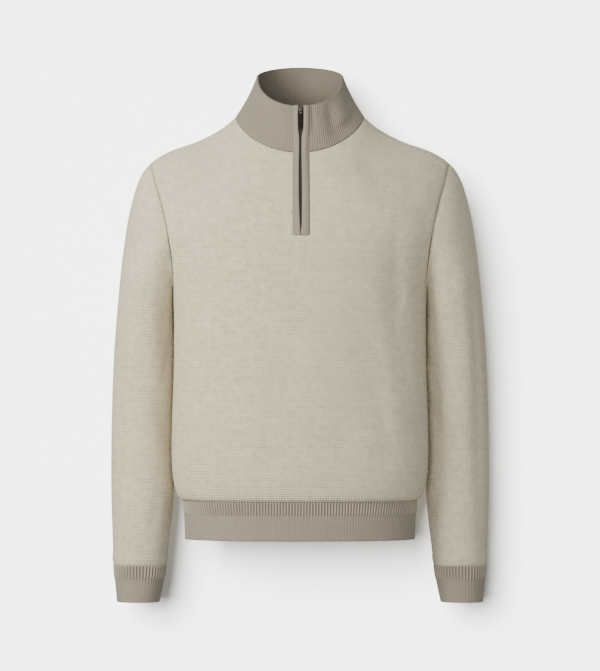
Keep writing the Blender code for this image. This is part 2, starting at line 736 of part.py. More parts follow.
def cuff(name, hand, look):
    turns = np.linspace(0, 2 * math.pi, CURVE_STEPS)
    out, ahead = oval(turns, SLEEVE_BULGE)
    columns = 2 * CUFF_RIBS
    rows = []
    for row in sorted(CUFF):
        middle = hand * (row.outer_x + row.inner_x) / 2
        x = middle + (row.outer_x - row.inner_x) / 2 * out
        y = row.middle_y + row.half_depth * ahead
        ring = np.stack([x, y, np.full(len(x), row.height)], axis=1)
        rows.append(resampled(ring, columns + 1)[:-1])
    plain = np.array(rows)
    plain[-1, :, 2] -= SEAM_GAP / 2
    step = np.roll(plain, -1, axis=1) - np.roll(plain, 1, axis=1)
    outward = without(np.stack([step[..., 1], -step[..., 0], 0 * step[..., 0]], axis=-1), 2)
    outer = raised(plain, outward, CUFF_RELIEF[::-1])
    inner = (plain - CUFF_THICK * outward)[[0, -1], ::2]
    ribbed_wall(name, outer, inner, look, True)


def collar(seam_directions, look):
    """The open band round the neck, from one edge of the slot by the back to the other."""
    columns = 2 * COLLAR_RIBS + 1
    plain = collar_grid(columns)
    outward = joined_directions([{"collar": (plain, quads(*plain.shape[:2]))}])["collar"]
    outward[0] = resampled(neck_points(), columns, seam_directions)
    outward[-1] = without(outward[-1], 2)
    outward[:, [0, -1]] = without(outward[:, [0, -1]], 0)
    pull_row(plain, 0)
    outer = raised(plain, outward, COLLAR_RELIEF)
    inner = (plain - COLLAR_THICK * outward)[:, ::2]
    ribbed_wall("collar", outer, inner, look, False)


# The zip


def strip(name, heights, left, right, rises, back, look):
    """A strip down the front, raised by its columns' rises, with its back behind the surface.

    An edge is at one x, or at the opening's edge of that name.
    """
    heights = np.array(sorted(heights), float)
    share = np.linspace(0, 1, len(rises))
    if isinstance(left, str):
        left = from_table(OPENING, left, heights)
    if isinstance(right, str):
        right = from_table(OPENING, right, heights)
    left = np.broadcast_to(left, heights.shape)
    x = left[:, None] + (right - left)[:, None] * share
    z = np.repeat(heights[:, None], len(rises), axis=1)
    surface = np.stack([x, front_line_y(x, z), z], axis=2)
    outer = surface - np.array(rises)[None, :, None] * np.array([0, 1, 0])
    inner = surface + back * np.array([0, 1, 0])
    return wall(name, outer, inner, quads(*outer.shape[:2]), look)


def bands_and_tapes(rib, tape):
    """The two bands of the slot, whose edges leave the zip's opening, and the tapes behind them."""
    left = SLOT_LEFT + BAND_GAP
    right = SLOT_RIGHT - BAND_GAP
    strip("band_right", BAND_ROWS, left, "left", LEFT_BAND_RISE, BAND_THICK, rib)
    strip("band_left", BAND_ROWS, "right", right, RIGHT_BAND_RISE[::-1], BAND_THICK, rib)
    heights = [z for z in BAND_ROWS if TAPE_BOTTOM < z < TAPE_TOP] + [TAPE_BOTTOM, TAPE_TOP]
    rises = (-TAPE_FRONT, -TAPE_FRONT)
    back = TAPE_FRONT + TAPE_THICK
    strip("zip_tape_right", heights, left, ZIP_X - SEAM_GAP / 2, rises, back, tape)
    strip("zip_tape_left", heights, ZIP_X + SEAM_GAP / 2, right, rises, back, tape)


def block(name, low, high, look=None, bevel=0.0):
    """A box between two corners, in millimetres from its object's origin."""
    mesh = bpy.data.meshes.new(name)
    form = bmesh.new()
    bmesh.ops.create_cube(form, size=1.0)
    for vertex in form.verts:
        share = vertex.co + Vector((0.5, 0.5, 0.5))
        vertex.co = [(a + (b - a) * s) * MM for a, b, s in zip(low, high, share)]
    form.to_mesh(mesh)
    form.free()
    made = bpy.data.objects.new(name, mesh)
    if look is None:
        CUTTERS.objects.link(made)
        made.hide_render = True
        made.display_type = "WIRE"
    else:
        mesh.materials.append(look)
        SWEATER.objects.link(made)
    if bevel:
        rounding = made.modifiers.new("rounding", "BEVEL")
        rounding.width = bevel * MM
        rounding.segments = ROUND_SEGMENTS
        rounding.limit_method = "ANGLE"
    return made


def boolean(target, cutter, operation):
    step = target.modifiers.new(cutter.name, "BOOLEAN")
    step.object = cutter
    step.operation = operation
    step.solver = "EXACT"


def slider_and_tab(metal):
    """The closed zip's slider, and its pull tab hanging from the bridge by its window."""
    heights = np.array([SLIDER_Z - TAB_LENGTH, SLIDER_Z, rim_point(0.0)[2]])
    low, middle, high = front_line_y(np.full(3, ZIP_X), heights)
    tilt = -math.atan2(high - low, heights[2] - heights[0])
    frame = bpy.data.objects.new("slider_frame", None)
    frame.location = (ZIP_X * MM, middle * MM, SLIDER_Z * MM)
    frame.rotation_euler = (tilt, 0, 0)
    SWEATER.objects.link(frame)

    half = SLIDER_WIDTH / 2
    tall = SLIDER_HEIGHT / 2
    slider = block(
        "zip_slider", (-half, SLIDER_FRONT, -tall), (half, SLIDER_BACK, tall), metal, SLIDER_ROUND
    )
    side = BRIDGE_WIDTH / 2
    reach = BRIDGE_HALF_LENGTH
    foot = SLIDER_FRONT + BRIDGE_SINK
    bridge = block("bridge", (-side, BRIDGE_TOP, -reach), (side, foot, reach), bevel=BRIDGE_ROUND)
    opening = reach - BRIDGE_LEG
    bar_back = BRIDGE_TOP + BRIDGE_BAR
    under = block("under_bridge", (-half, bar_back, -opening), (half, SLIDER_FRONT, opening))
    boolean(slider, bridge, "UNION")
    boolean(slider, under, "DIFFERENCE")

    hinge = bpy.data.objects.new("tab_hinge", None)
    hinge.location = (0, PIN_Y * MM, 0)
    SWEATER.objects.link(hinge)
    hinge.parent = frame
    wide = TAB_WIDTH / 2
    thick = TAB_THICK / 2
    tab = block("zip_pull", (-wide, -thick, -TAB_LENGTH), (wide, thick, thick), metal, TAB_ROUND)
    side = TAB_WINDOW / 2
    low = -thick - TAB_WINDOW_LENGTH
    window = block("tab_window", (-side, -TAB_THICK, low), (side, TAB_THICK, -thick))
    boolean(tab, window, "DIFFERENCE")
    tab.parent = window.parent = hinge
    for piece in (slider, bridge, under):
        piece.parent = frame


for old in list(bpy.data.objects):
    bpy.data.objects.remove(old, do_unlink=True)

SWEATER = bpy.data.collections.new("quarter_zip_sweater")
CUTTERS = bpy.data.collections.new("cutters")
bpy.context.scene.collection.children.link(SWEATER)
bpy.context.scene.collection.children.link(CUTTERS)

KNIT = material("beige_knit", (0.56, 0.51, 0.44), 0.92)
RIB = material("taupe_rib", (0.33, 0.28, 0.235), 0.92)
TAPE = material("dark_tape", (0.045, 0.04, 0.033), 0.85)
METAL = material("gunmetal", (0.12, 0.11, 0.1), 0.38, metallic=1.0)

collar(panels_and_sleeves(KNIT), RIB)
hem_band("hem_front", True, RIB)
hem_band("hem_back", False, RIB)
cuff("cuff_right", -1, RIB)
cuff("cuff_left", 1, RIB)
bands_and_tapes(RIB, TAPE)
slider_and_tab(METAL)
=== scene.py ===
"""The looks of a quarter-zip mock-neck sweater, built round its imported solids.

The sweater faces -Y and +Z is up. Tables and forms are in millimetres, and meshes are made in metres.
Each knitted piece is a thin sheet on its solid's form, with its folds, rolled seams and ribs.
"""

import math
from collections import namedtuple

import bmesh
import bpy
import numpy as np
from mathutils import Matrix, Vector


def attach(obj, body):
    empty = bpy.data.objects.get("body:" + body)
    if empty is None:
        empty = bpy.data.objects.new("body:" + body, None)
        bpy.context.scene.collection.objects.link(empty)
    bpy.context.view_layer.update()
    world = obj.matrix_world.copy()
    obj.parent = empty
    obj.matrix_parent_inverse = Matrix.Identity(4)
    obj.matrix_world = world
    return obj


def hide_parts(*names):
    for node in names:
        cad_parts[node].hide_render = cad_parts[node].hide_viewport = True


bl_info = {
    "name": "Quarter-zip sweater",
    "version": (1, 0, 0),
    "blender": (4, 5, 0),
    "location": "View3D > Sidebar > Sweater",
    "description": "Dresses the solids of a knitted quarter-zip sweater",
    "category": "Object",
}

MM = 0.001
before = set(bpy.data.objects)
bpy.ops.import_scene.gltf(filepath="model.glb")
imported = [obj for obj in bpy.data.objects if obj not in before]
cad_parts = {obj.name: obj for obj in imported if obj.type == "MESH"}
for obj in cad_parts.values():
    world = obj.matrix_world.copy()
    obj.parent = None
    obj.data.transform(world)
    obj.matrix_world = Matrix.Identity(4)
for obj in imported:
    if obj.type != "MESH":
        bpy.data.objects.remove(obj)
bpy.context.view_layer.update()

# The torso at each height: half its width, and its front and back lines at the middle.
Torso = namedtuple("Torso", "height half_width front back")
TORSO = (
    Torso(-670.5, 183.5, -108, 108),
    Torso(-640.0, 184.5, -110, 110),
    Torso(-609.0, 185.5, -111, 111),
    Torso(-606.0, 191.5, -115, 114),
    Torso(-600.0, 195.5, -118, 115),
    Torso(-588.0, 199.5, -121, 115),
    Torso(-560.0, 204.0, -124, 112),
    Torso(-530.0, 205.0, -125, 109),
    Torso(-470.0, 204.0, -126, 103),
    Torso(-400.0, 201.5, -126, 100),
    Torso(-330.0, 201.0, -127, 104),
    Torso(-275.0, 203.0, -128, 111),
    Torso(-226.0, 213.0, -128, 118),
    Torso(-180.0, 232.0, -125, 122),
    Torso(-140.0, 239.0, -118, 122),
    Torso(-100.0, 241.0, -103, 121),
    Torso(-57.0, 241.0, -81, 119),
    Torso(-20.0, 240.0, -68, 117),
    Torso(20.0, 240.0, -60, 114),
)
SIDE_Y = -12.0  # the side seams
BULGE = 2.3  # the exponent of the torso's oval
FRONT_SHOULDER = 150.0  # how far below its top the front reaches its full depth
BACK_SHOULDER = 170.0
SHOULDER_ROUND = 1.8  # the exponent of that rounding

# The top of the shoulder, out from the middle. Inside the collar it goes on up the neck.
Ridge = namedtuple("Ridge", "x y height")
RIDGE = (
    Ridge(0.0, 0, 60),
    Ridge(50.0, 0, 48),
    Ridge(80.0, 0, 27),
    Ridge(103.0, 0, 4),
    Ridge(120.0, 1, -10.5),
    Ridge(139.0, 2, -22.5),
    Ridge(167.0, 2, -36),
    Ridge(203.5, 3, -48.5),
    Ridge(228.5, 4, -61.5),
    Ridge(239.0, 5, -70),
)

# The armhole seam, from the underarm up to the shoulder tip, on the front and on the back.
Armhole = namedtuple("Armhole", "height x")
ARMHOLE = (
    Armhole(-275.0, 203.0),
    Armhole(-262.0, 201.8),
    Armhole(-246.0, 202.0),
    Armhole(-226.0, 203.5),
    Armhole(-194.0, 208.0),
    Armhole(-162.0, 214.0),
    Armhole(-130.0, 222.0),
    Armhole(-105.0, 230.0),
    Armhole(-88.0, 235.0),
    Armhole(-70.0, 239.0),
)

# Sleeve sections after the armhole: the outer and inner points of each, its middle and its half depth.
Sleeve = namedtuple("Sleeve", "outer_x outer_z inner_x inner_z middle_y half_depth")
SLEEVE = (
    Sleeve(249.8, -82, 203.2, -277.5, -3, 64.0),
    Sleeve(260.5, -103, 203.1, -281, -1, 65.0),
    Sleeve(269.0, -132, 202.9, -286, 1, 66.0),
    Sleeve(276.5, -166, 202.5, -292, 4, 67.0),
    Sleeve(282.0, -203, 202.0, -300, 8, 67.5),
    Sleeve(287.0, -243, 201.7, -312, 12, 68.0),
    Sleeve(291.0, -282, 201.0, -328, 17, 67.5),
    Sleeve(294.5, -320, 200.2, -348, 22, 66.5),
    Sleeve(297.5, -357, 199.8, -371, 26, 65.5),
    Sleeve(299.7, -393, 199.8, -398, 30, 64.5),
    Sleeve(301.3, -430, 200.6, -430, 33, 63.5),
    Sleeve(302.5, -470, 201.8, -470, 35, 62.5),
    Sleeve(303.3, -510, 202.8, -510, 36, 61.0),
    Sleeve(303.6, -550, 203.0, -550, 35, 59.5),
    Sleeve(303.4, -590, 202.0, -590, 32, 57.5),
    Sleeve(302.6, -625, 204.6, -625, 29, 55.0),
    Sleeve(301.5, -655, 207.6, -655, 28, 52.5),
    Sleeve(300.6, -685, 211.2, -685, 27, 49.5),
    Sleeve(300.0, -704, 213.6, -704, 27, 46.5),
    Sleeve(299.6, -714, 214.8, -714, 27, 44.5),
)
SLEEVE_BULGE = 2.15  # the exponent of the sleeve's ovals
CAP_SECTIONS = 6  # how many sections it takes from the armhole's form to the plain oval

Cuff = namedtuple("Cuff", "height outer_x inner_x middle_y half_depth")
CUFF = (
    Cuff(-714.0, 298.8, 215.2, 27, 44.0),
    Cuff(-738.0, 297.2, 218.4, 26, 41.5),
    Cuff(-773.0, 294.0, 225.6, 25, 37.5),
)

# Collar: the seam round the neck and the rim. Angles start at the middle of the front.
NECK_HALF_WIDTH = 103.0
NECK_FRONT_DROP = 59.5
NECK_FRONT_POWER = 1.3
NECK_BACK_RISE = 10.0
NECK_BACK_POWER = 1.6
NECK_SIDE_Z = 4.0
RIM_HALF_WIDTH = 68.5
RIM_FRONT_DEPTH = 62.0
RIM_BACK_DEPTH = 60.0
RIM_SIDE_Z = 70.0
RIM_FRONT_DROP = 51.0
RIM_FRONT_POWER = 0.9
RIM_BACK_RISE = 17.0
COLLAR_HOLLOW = 3.0  # how far the collar's sides sink in between seam and rim
COLLAR_THICK = 3.2
COLLAR_RIBS = 132
CURVE_STEPS = 721
SEAM_GAP = 0.3
BODY_THICK = 2.0

# The slot for the zip and the opening between its bands.
SLOT_LEFT = -9.8
SLOT_RIGHT = 14.6
SLOT_BOTTOM = -187.0
SLOT_STEPS = 8
ZIP_X = 1.35  # the middle of the zip
Opening = namedtuple("Opening", "height left right")
OPENING = (
    Opening(-189.0, 1.3, 1.4),
    Opening(-184.0, 1.1, 1.6),
    Opening(-172.0, 0.4, 2.6),
    Opening(-150.0, -0.6, 3.0),
    Opening(-115.0, -1.3, 3.2),
    Opening(-73.0, -1.3, 2.6),
    Opening(-50.0, -0.8, 2.4),
    Opening(-32.0, -0.9, 2.6),
    Opening(-18.0, -2.4, 4.9),
    Opening(-4.0, -2.8, 5.5),
    Opening(21.0, -2.8, 5.5),
)

# The cloth's grids: columns from the middle out to the neck and on to the tip, and rows up the armhole
NECK_COLUMNS = 44
SHOULDER_COLUMNS = 34
LOW_ARMHOLE = 27
HIGH_ARMHOLE = 38
ARMHOLE_STEPS = 401
SLEEVE_ROWS = 200


# Curves and the sweater's form


def column(table, name):
    """One column of a table."""
    return np.array([getattr(row, name) for row in table], float)


def smooth(places, values, at):
    """The value at a place, on a smooth curve through the points that never overshoots them."""
    places = np.asarray(places, float)
    values = np.asarray(values, float)
    step = np.diff(places)
    slope = np.diff(values) / step
    tangent = np.concatenate([slope[:1], np.zeros(len(slope) - 1), slope[-1:]])
    for i in range(1, len(slope)):
        if slope[i - 1] * slope[i] > 0:
            before = 2 * step[i] + step[i - 1]
            after = step[i] + 2 * step[i - 1]
            tangent[i] = (before + after) / (before / slope[i - 1] + after / slope[i])
    at = np.clip(np.asarray(at, float), places[0], places[-1])
    i = np.clip(np.searchsorted(places, at, side="right") - 1, 0, len(step) - 1)
    t = (at - places[i]) / step[i]
    rise = values[i + 1] - values[i]
    start = tangent[i] * step[i]
    end = tangent[i + 1] * step[i]
    return values[i] + t * (start + t * (3 * rise - 2 * start - end + t * (start + end - 2 * rise)))


def from_table(table, name, at, by="height"):
    """A column's value at given places, read along another column."""
    return smooth(column(table, by), column(table, name), at)


def power_cos(angle, power):
    """A power of the cosine that keeps the cosine's sign."""
    value = np.cos(angle)
    return np.sign(value) * np.abs(value) ** power


# The folds. A trough has a depth above zero, a ridge below zero; both fade to their ends.
Fold = namedtuple("Fold", "top_x top_z end_x end_z bow width depth")
FRONT_FOLDS = (
    Fold(150, -170, 178, -455, -14, 20, 5.0),
    Fold(96, -270, 112, -520, 6, 30, 3.5),
    Fold(22, -300, 6, -480, 4, 24, -2.0),
    Fold(-172, -120, -176, -250, -6, 16, 3.5),
    Fold(-150, -400, -120, -560, -8, 26, 2.5),
    Fold(88, -50, 130, -110, 6, 18, 2.5),
)
BACK_FOLDS = (
    Fold(-150, -150, -168, -470, 12, 24, 5.0),
    Fold(145, -170, 160, -430, -10, 24, 4.5),
    Fold(-70, -420, -30, -570, -10, 28, 3.5),
    Fold(60, -400, 90, -560, 12, 26, 3.0),
    Fold(0, -60, 10, -230, 5, 34, 2.5),
)
# Smaller folds
FRONT_CREASES = (
    Fold(168, -205, 150, -330, 5, 9, 1.3),
    Fold(154, -150, 160, -345, -4, 10, 2.4),
    Fold(-190, -140, -192, -265, 3, 9, 2.4),
    Fold(122, -360, 150, -560, -6, 12, 1.6),
    Fold(186, -240, 170, -420, -6, 8, 1.2),
    Fold(150, -330, 186, -560, 8, 13, 1.5),
    Fold(128, -420, 140, -585, -5, 12, 1.1),
    Fold(70, -440, 62, -590, 4, 15, 0.9),
    Fold(-40, -470, -52, -596, -4, 16, 0.8),
    Fold(-118, -480, -104, -600, 5, 13, 1.0),
    Fold(-186, -225, -178, -420, 5, 9, 1.3),
    Fold(-188, -420, -168, -585, -6, 11, 1.3),
    Fold(-165, -90, -190, -175, 6, 11, 1.2),
    Fold(-196, -130, -190, -250, -3, 8, 1.2),
    Fold(198, -120, 190, -245, 4, 9, 1.3),
    Fold(172, -85, 196, -165, -6, 11, 1.0),
    Fold(60, -62, 84, -140, 6, 10, 0.9),
    Fold(-60, -66, -78, -130, -6, 10, 0.6),
    Fold(28, -175, 44, -300, 5, 15, 0.7),
)
BACK_CREASES = (
    Fold(170, -200, 158, -330, 6, 10, 1.5),
    Fold(188, -240, 172, -430, -6, 9, 1.3),
    Fold(-172, -205, -160, -350, -6, 10, 1.4),
    Fold(-188, -250, -176, -440, 6, 9, 1.2),
    Fold(-110, -460, -96, -596, 6, 13, 1.2),
    Fold(-20, -480, -8, -598, -4, 14, 1.0),
    Fold(40, -470, 30, -596, 4, 13, 0.9),
    Fold(128, -450, 150, -598, 6, 12, 1.3),
    Fold(-150, -500, -160, -600, -4, 11, 1.1),
    Fold(-60, -70, -120, -120, 6, 12, 1.2),
    Fold(64, -72, 126, -128, -6, 12, 1.3),
    Fold(20, -250, -14, -420, 10, 22, 1.4),
    Fold(196, -110, 192, -240, 4, 9, 1.2),
    Fold(-196, -115, -192, -245, -4, 9, 1.3),
)
SleeveFold = namedtuple("SleeveFold", "top end top_turn end_turn width depth")
LEFT_SLEEVE_FOLDS = (
    SleeveFold(-300, -500, 118, 135, 22, 3.5),
    SleeveFold(-440, -560, 150, 95, 18, 2.5),
    SleeveFold(-250, -420, 250, 225, 24, 3.5),
    SleeveFold(-480, -640, 300, 260, 20, 3.0),
)
RIGHT_SLEEVE_FOLDS = (
    SleeveFold(-230, -600, 52, 40, 18, 3.0),
    SleeveFold(-260, -430, 125, 140, 22, 3.5),
    SleeveFold(-430, -540, 110, 150, 18, 2.5),
    SleeveFold(-260, -470, 235, 260, 24, 3.5),
)
LEFT_SLEEVE_CREASES = (
    SleeveFold(-190, -690, 52, 48, 12, 3.2),
    SleeveFold(-150, -300, 100, 122, 10, 1.2),
    SleeveFold(-200, -380, 148, 128, 9, 1.3),
    SleeveFold(-360, -470, 160, 120, 9, 1.3),
    SleeveFold(-400, -640, 66, 58, 11, 1.2),
    SleeveFold(-560, -700, 112, 96, 10, 1.0),
    SleeveFold(-600, -705, 150, 140, 9, 1.0),
    SleeveFold(-180, -360, 285, 262, 12, 1.5),
    SleeveFold(-380, -520, 215, 262, 10, 1.6),
    SleeveFold(-430, -560, 228, 268, 9, 1.4),
    SleeveFold(-600, -705, 300, 282, 10, 1.1),
    SleeveFold(-90, -190, 62, 92, 12, 0.9),
)
RIGHT_SLEEVE_CREASES = (
    SleeveFold(-160, -320, 104, 120, 10, 1.3),
    SleeveFold(-330, -450, 158, 118, 9, 1.3),
    SleeveFold(-380, -620, 78, 64, 11, 1.3),
    SleeveFold(-560, -700, 126, 104, 10, 1.1),
    SleeveFold(-610, -705, 62, 50, 9, 0.9),
    SleeveFold(-200, -370, 282, 258, 12, 1.5),
    SleeveFold(-390, -530, 218, 264, 10, 1.6),
    SleeveFold(-450, -580, 232, 272, 9, 1.3),
    SleeveFold(-590, -705, 296, 280, 10, 1.2),
    SleeveFold(-90, -180, 66, 90, 12, 1.1),
)
# Dents and bulges of the collar: at which turn from the front, towards +X, and between which heights.
CollarFold = namedtuple("CollarFold", "turn low high width depth")
COLLAR_FOLDS = (
    CollarFold(43, 0.12, 1.0, 8.0, 3.2),
    CollarFold(60, 0.25, 0.95, 11.0, -2.0),
    CollarFold(56, 0.0, 0.4, 17.0, 2.6),
    CollarFold(17.5, 0.3, 1.15, 3.5, 1.7),
    CollarFold(27, 0.0, 0.8, 8.0, -0.8),
    CollarFold(-50, 0.1, 0.9, 12.0, 1.2),
    CollarFold(150, 0.1, 1.0, 14.0, 1.4),
    CollarFold(-135, 0.0, 0.9, 12.0, 1.6),
)


def fold_depth(folds, x, z):
    """How far the folds press in the surface at a place."""
    total = np.zeros(np.shape(x))
    for fold in folds:
        run = np.array([fold.end_x - fold.top_x, fold.end_z - fold.top_z], float)
        length = np.hypot(*run)
        ahead = ((x - fold.top_x) * run[0] + (z - fold.top_z) * run[1]) / length**2
        aside = ((x - fold.top_x) * run[1] - (z - fold.top_z) * run[0]) / length
        inside = np.clip(ahead, 0, 1)
        aside = aside + fold.bow * np.sin(math.pi * inside)
        total = total + fold.depth * np.sin(math.pi * inside) * np.exp(-((aside / fold.width) ** 2))
    return total


def body_y(x, z, front, creases=False):
    """The depth of the torso's surface, on the front or on the back."""
    x = np.asarray(x, float)
    z = np.asarray(z, float)
    half_width = from_table(TORSO, "half_width", z)
    middle = from_table(TORSO, "front" if front else "back", z)
    share = (1 - np.minimum(np.abs(x) / half_width, 1) ** BULGE) ** (1 / BULGE)
    full = SIDE_Y + (middle - SIDE_Y) * share
    reach = FRONT_SHOULDER if front else BACK_SHOULDER
    below = (from_table(RIDGE, "height", np.abs(x), by="x") - z) / reach
    rounding = (1 - (1 - np.clip(below, 0, 1)) ** SHOULDER_ROUND) ** (1 / SHOULDER_ROUND)
    top = from_table(RIDGE, "y", np.abs(x), by="x")
    folds = FRONT_FOLDS if front else BACK_FOLDS
    if creases:
        folds = folds + (FRONT_CREASES if front else BACK_CREASES)
    press = fold_depth(folds, x, z) * share * rounding
    return top + (full - top) * rounding + (press if front else -press)


def along(points):
    """How far along a line of points each of them is."""
    steps = np.linalg.norm(np.diff(points, axis=0), axis=1)
    return np.concatenate([[0], np.cumsum(steps)])


def resampled(points, count):
    """Points evenly spaced along a line of points."""
    distance = along(points)
    stops = np.linspace(0, distance[-1], count)
    return np.stack([np.interp(stops, distance, points[:, k]) for k in range(3)], axis=1)


def armhole_points(front):
    """The armhole's points from underarm to tip, evenly spaced below and above the slot's bottom."""
    heights = []
    for low, high, count in (
        (ARMHOLE[0].height, SLOT_BOTTOM, LOW_ARMHOLE + 1),
        (SLOT_BOTTOM, ARMHOLE[-1].height, HIGH_ARMHOLE + 1),
    ):
        part = np.linspace(low, high, ARMHOLE_STEPS)
        x = from_table(ARMHOLE, "x", part)
        heights.append(resampled(np.stack([x, body_y(x, part, front), part], axis=1), count)[:, 2])
    heights = np.concatenate([heights[0], heights[1][1:]])
    return from_table(ARMHOLE, "x", heights), heights


BODY_ROWS = np.concatenate([np.linspace(-609, -594, 10), np.linspace(-591.5, -278.3, 96)])
UNDERARM_ROW = len(BODY_ROWS)
SLOT_ROW = UNDERARM_ROW + LOW_ARMHOLE
HALF_COLUMNS = NECK_COLUMNS + SHOULDER_COLUMNS


def section_row(z, inner_x, outer_x):
    """The x of one row's columns, evenly turned round the torso's oval."""
    half_width = float(from_table(TORSO, "half_width", z))
    first = math.asin(min(inner_x / half_width, 1) ** (BULGE / 2))
    last = math.asin(min(outer_x / half_width, 1) ** (BULGE / 2))
    turns = np.linspace(first, last, HALF_COLUMNS + 1)
    return half_width * np.sin(turns) ** (2 / BULGE)


def neck_seam(angle):
    """The collar's seam at an angle from the middle of the front, as x and height."""
    front = NECK_SIDE_Z - NECK_FRONT_DROP * power_cos(angle, NECK_FRONT_POWER)
    back = NECK_SIDE_Z - NECK_BACK_RISE * power_cos(angle, NECK_BACK_POWER)
    return NECK_HALF_WIDTH * np.sin(angle), np.where(np.cos(angle) > 0, front, back)


def half_panel(front, inner_x):
    """One half of a panel on the +X side, as x and z grids from inner_x out to the side."""
    edge_x, edge_z = armhole_points(front)
    low_x = [section_row(z, inner_x, float(from_table(TORSO, "half_width", z))) for z in BODY_ROWS]
    low_x += [section_row(z, inner_x, x) for x, z in zip(edge_x, edge_z[: LOW_ARMHOLE + 1])]
    low_z = list(BODY_ROWS) + list(edge_z[: LOW_ARMHOLE + 1])
    turns = np.linspace(math.asin(inner_x / NECK_HALF_WIDTH), math.pi / 2, NECK_COLUMNS + 1)
    neck_x, neck_z = neck_seam(turns if front else math.pi - turns)
    ridge_x = np.linspace(NECK_HALF_WIDTH, RIDGE[-1].x, SHOULDER_COLUMNS + 1)[1:]
    top_x = np.concatenate([neck_x, ridge_x])
    top_z = np.concatenate([neck_z, from_table(RIDGE, "height", ridge_x, by="x")])
    side_x = edge_x[LOW_ARMHOLE:]
    side_z = edge_z[LOW_ARMHOLE:]
    up = ((side_z - side_z[0]) / (side_z[-1] - side_z[0]))[:, None]
    across = np.linspace(0, 1, len(top_x))[None, :]

    def stretch(bottom, top, side, middle):
        corners = (1 - across) * ((1 - up) * bottom[0] + up * top[0])
        corners = corners + across * ((1 - up) * bottom[-1] + up * top[-1])
        return (1 - up) * bottom + up * top + (1 - across) * middle + across * side[:, None] - corners

    yoke_x = stretch(low_x[-1], top_x, side_x, inner_x)
    middle_z = side_z[0] + up * (top_z[0] - side_z[0])
    yoke_z = stretch(np.full(len(top_x), side_z[0]), top_z, side_z, middle_z)
    x = np.concatenate([np.array(low_x), yoke_x[1:]])
    z = np.concatenate([np.repeat(np.array(low_z)[:, None], len(top_x), axis=1), yoke_z[1:]])
    return x, z


def panel_grid(front):
    """A whole panel's points, in rows up and columns to +X on the front and to -X on the back."""
    left_x, left_z = half_panel(front, -SLOT_LEFT if front else 0.0)
    right_x, right_z = half_panel(front, SLOT_RIGHT if front else 0.0)
    if front:
        share = np.linspace(0, 1, SLOT_STEPS + 1)[1:-1]
        middle_x = -left_x[:, :1] * (1 - share) + right_x[:, :1] * share
        middle_z = left_z[:, :1] * (1 - share) + right_z[:, :1] * share
        x = np.concatenate([-left_x[:, ::-1], middle_x, right_x], axis=1)
        z = np.concatenate([left_z[:, ::-1], middle_z, right_z], axis=1)
    else:
        x = np.concatenate([-left_x[:, ::-1], right_x[:, 1:]], axis=1)
        z = np.concatenate([left_z[:, ::-1], right_z[:, 1:]], axis=1)
    points = np.stack([x, body_y(x, z, front, creases=True), z], axis=2)
    return points if front else points[:, ::-1]


def oval(turns, bulge):
    """Unit ovals: how far outward, and how far forward, at each turn from the outer point."""
    return power_cos(turns, 2 / bulge), power_cos(turns - math.pi / 2, 2 / bulge)


def sleeve_fold_depth(folds, turn, height):
    """How far a sleeve's folds press it in, at turns round it and heights."""
    total = np.zeros(np.shape(height))
    for fold in folds:
        ahead = np.clip((height - fold.top) / (fold.end - fold.top), 0, 1)
        middle = fold.top_turn + ahead * (fold.end_turn - fold.top_turn)
        aside = (np.degrees(turn) - middle + 180) % 360 - 180
        total = total + fold.depth * np.sin(math.pi * ahead) * np.exp(-((aside / fold.width) ** 2))
    return total


def spline_rows(rows, count):
    """Rows of points laid smoothly through a few given rows, evenly spaced along their middle line."""
    middle = along(rows.mean(axis=1))
    stops = np.linspace(0, middle[-1], count)
    before = np.concatenate([[2 * middle[0] - middle[1]], middle])
    after = np.concatenate([middle, [2 * middle[-1] - middle[-2]]])
    extended = np.concatenate([[2 * rows[0] - rows[1]], rows, [2 * rows[-1] - rows[-2]]])
    slope = (extended[2:] - extended[:-2]) / (after[1:] - before[:-1])[:, None, None]
    i = np.clip(np.searchsorted(middle, stops, side="right") - 1, 0, len(middle) - 2)
    step = (middle[i + 1] - middle[i])[:, None, None]
    t = ((stops - middle[i]) / (middle[i + 1] - middle[i]))[:, None, None]
    rise = rows[i + 1] - rows[i]
    start = slope[i] * step
    end = slope[i + 1] * step
    return rows[i] + t * (start + t * (3 * rise - 2 * start - end + t * (start + end - 2 * rise)))


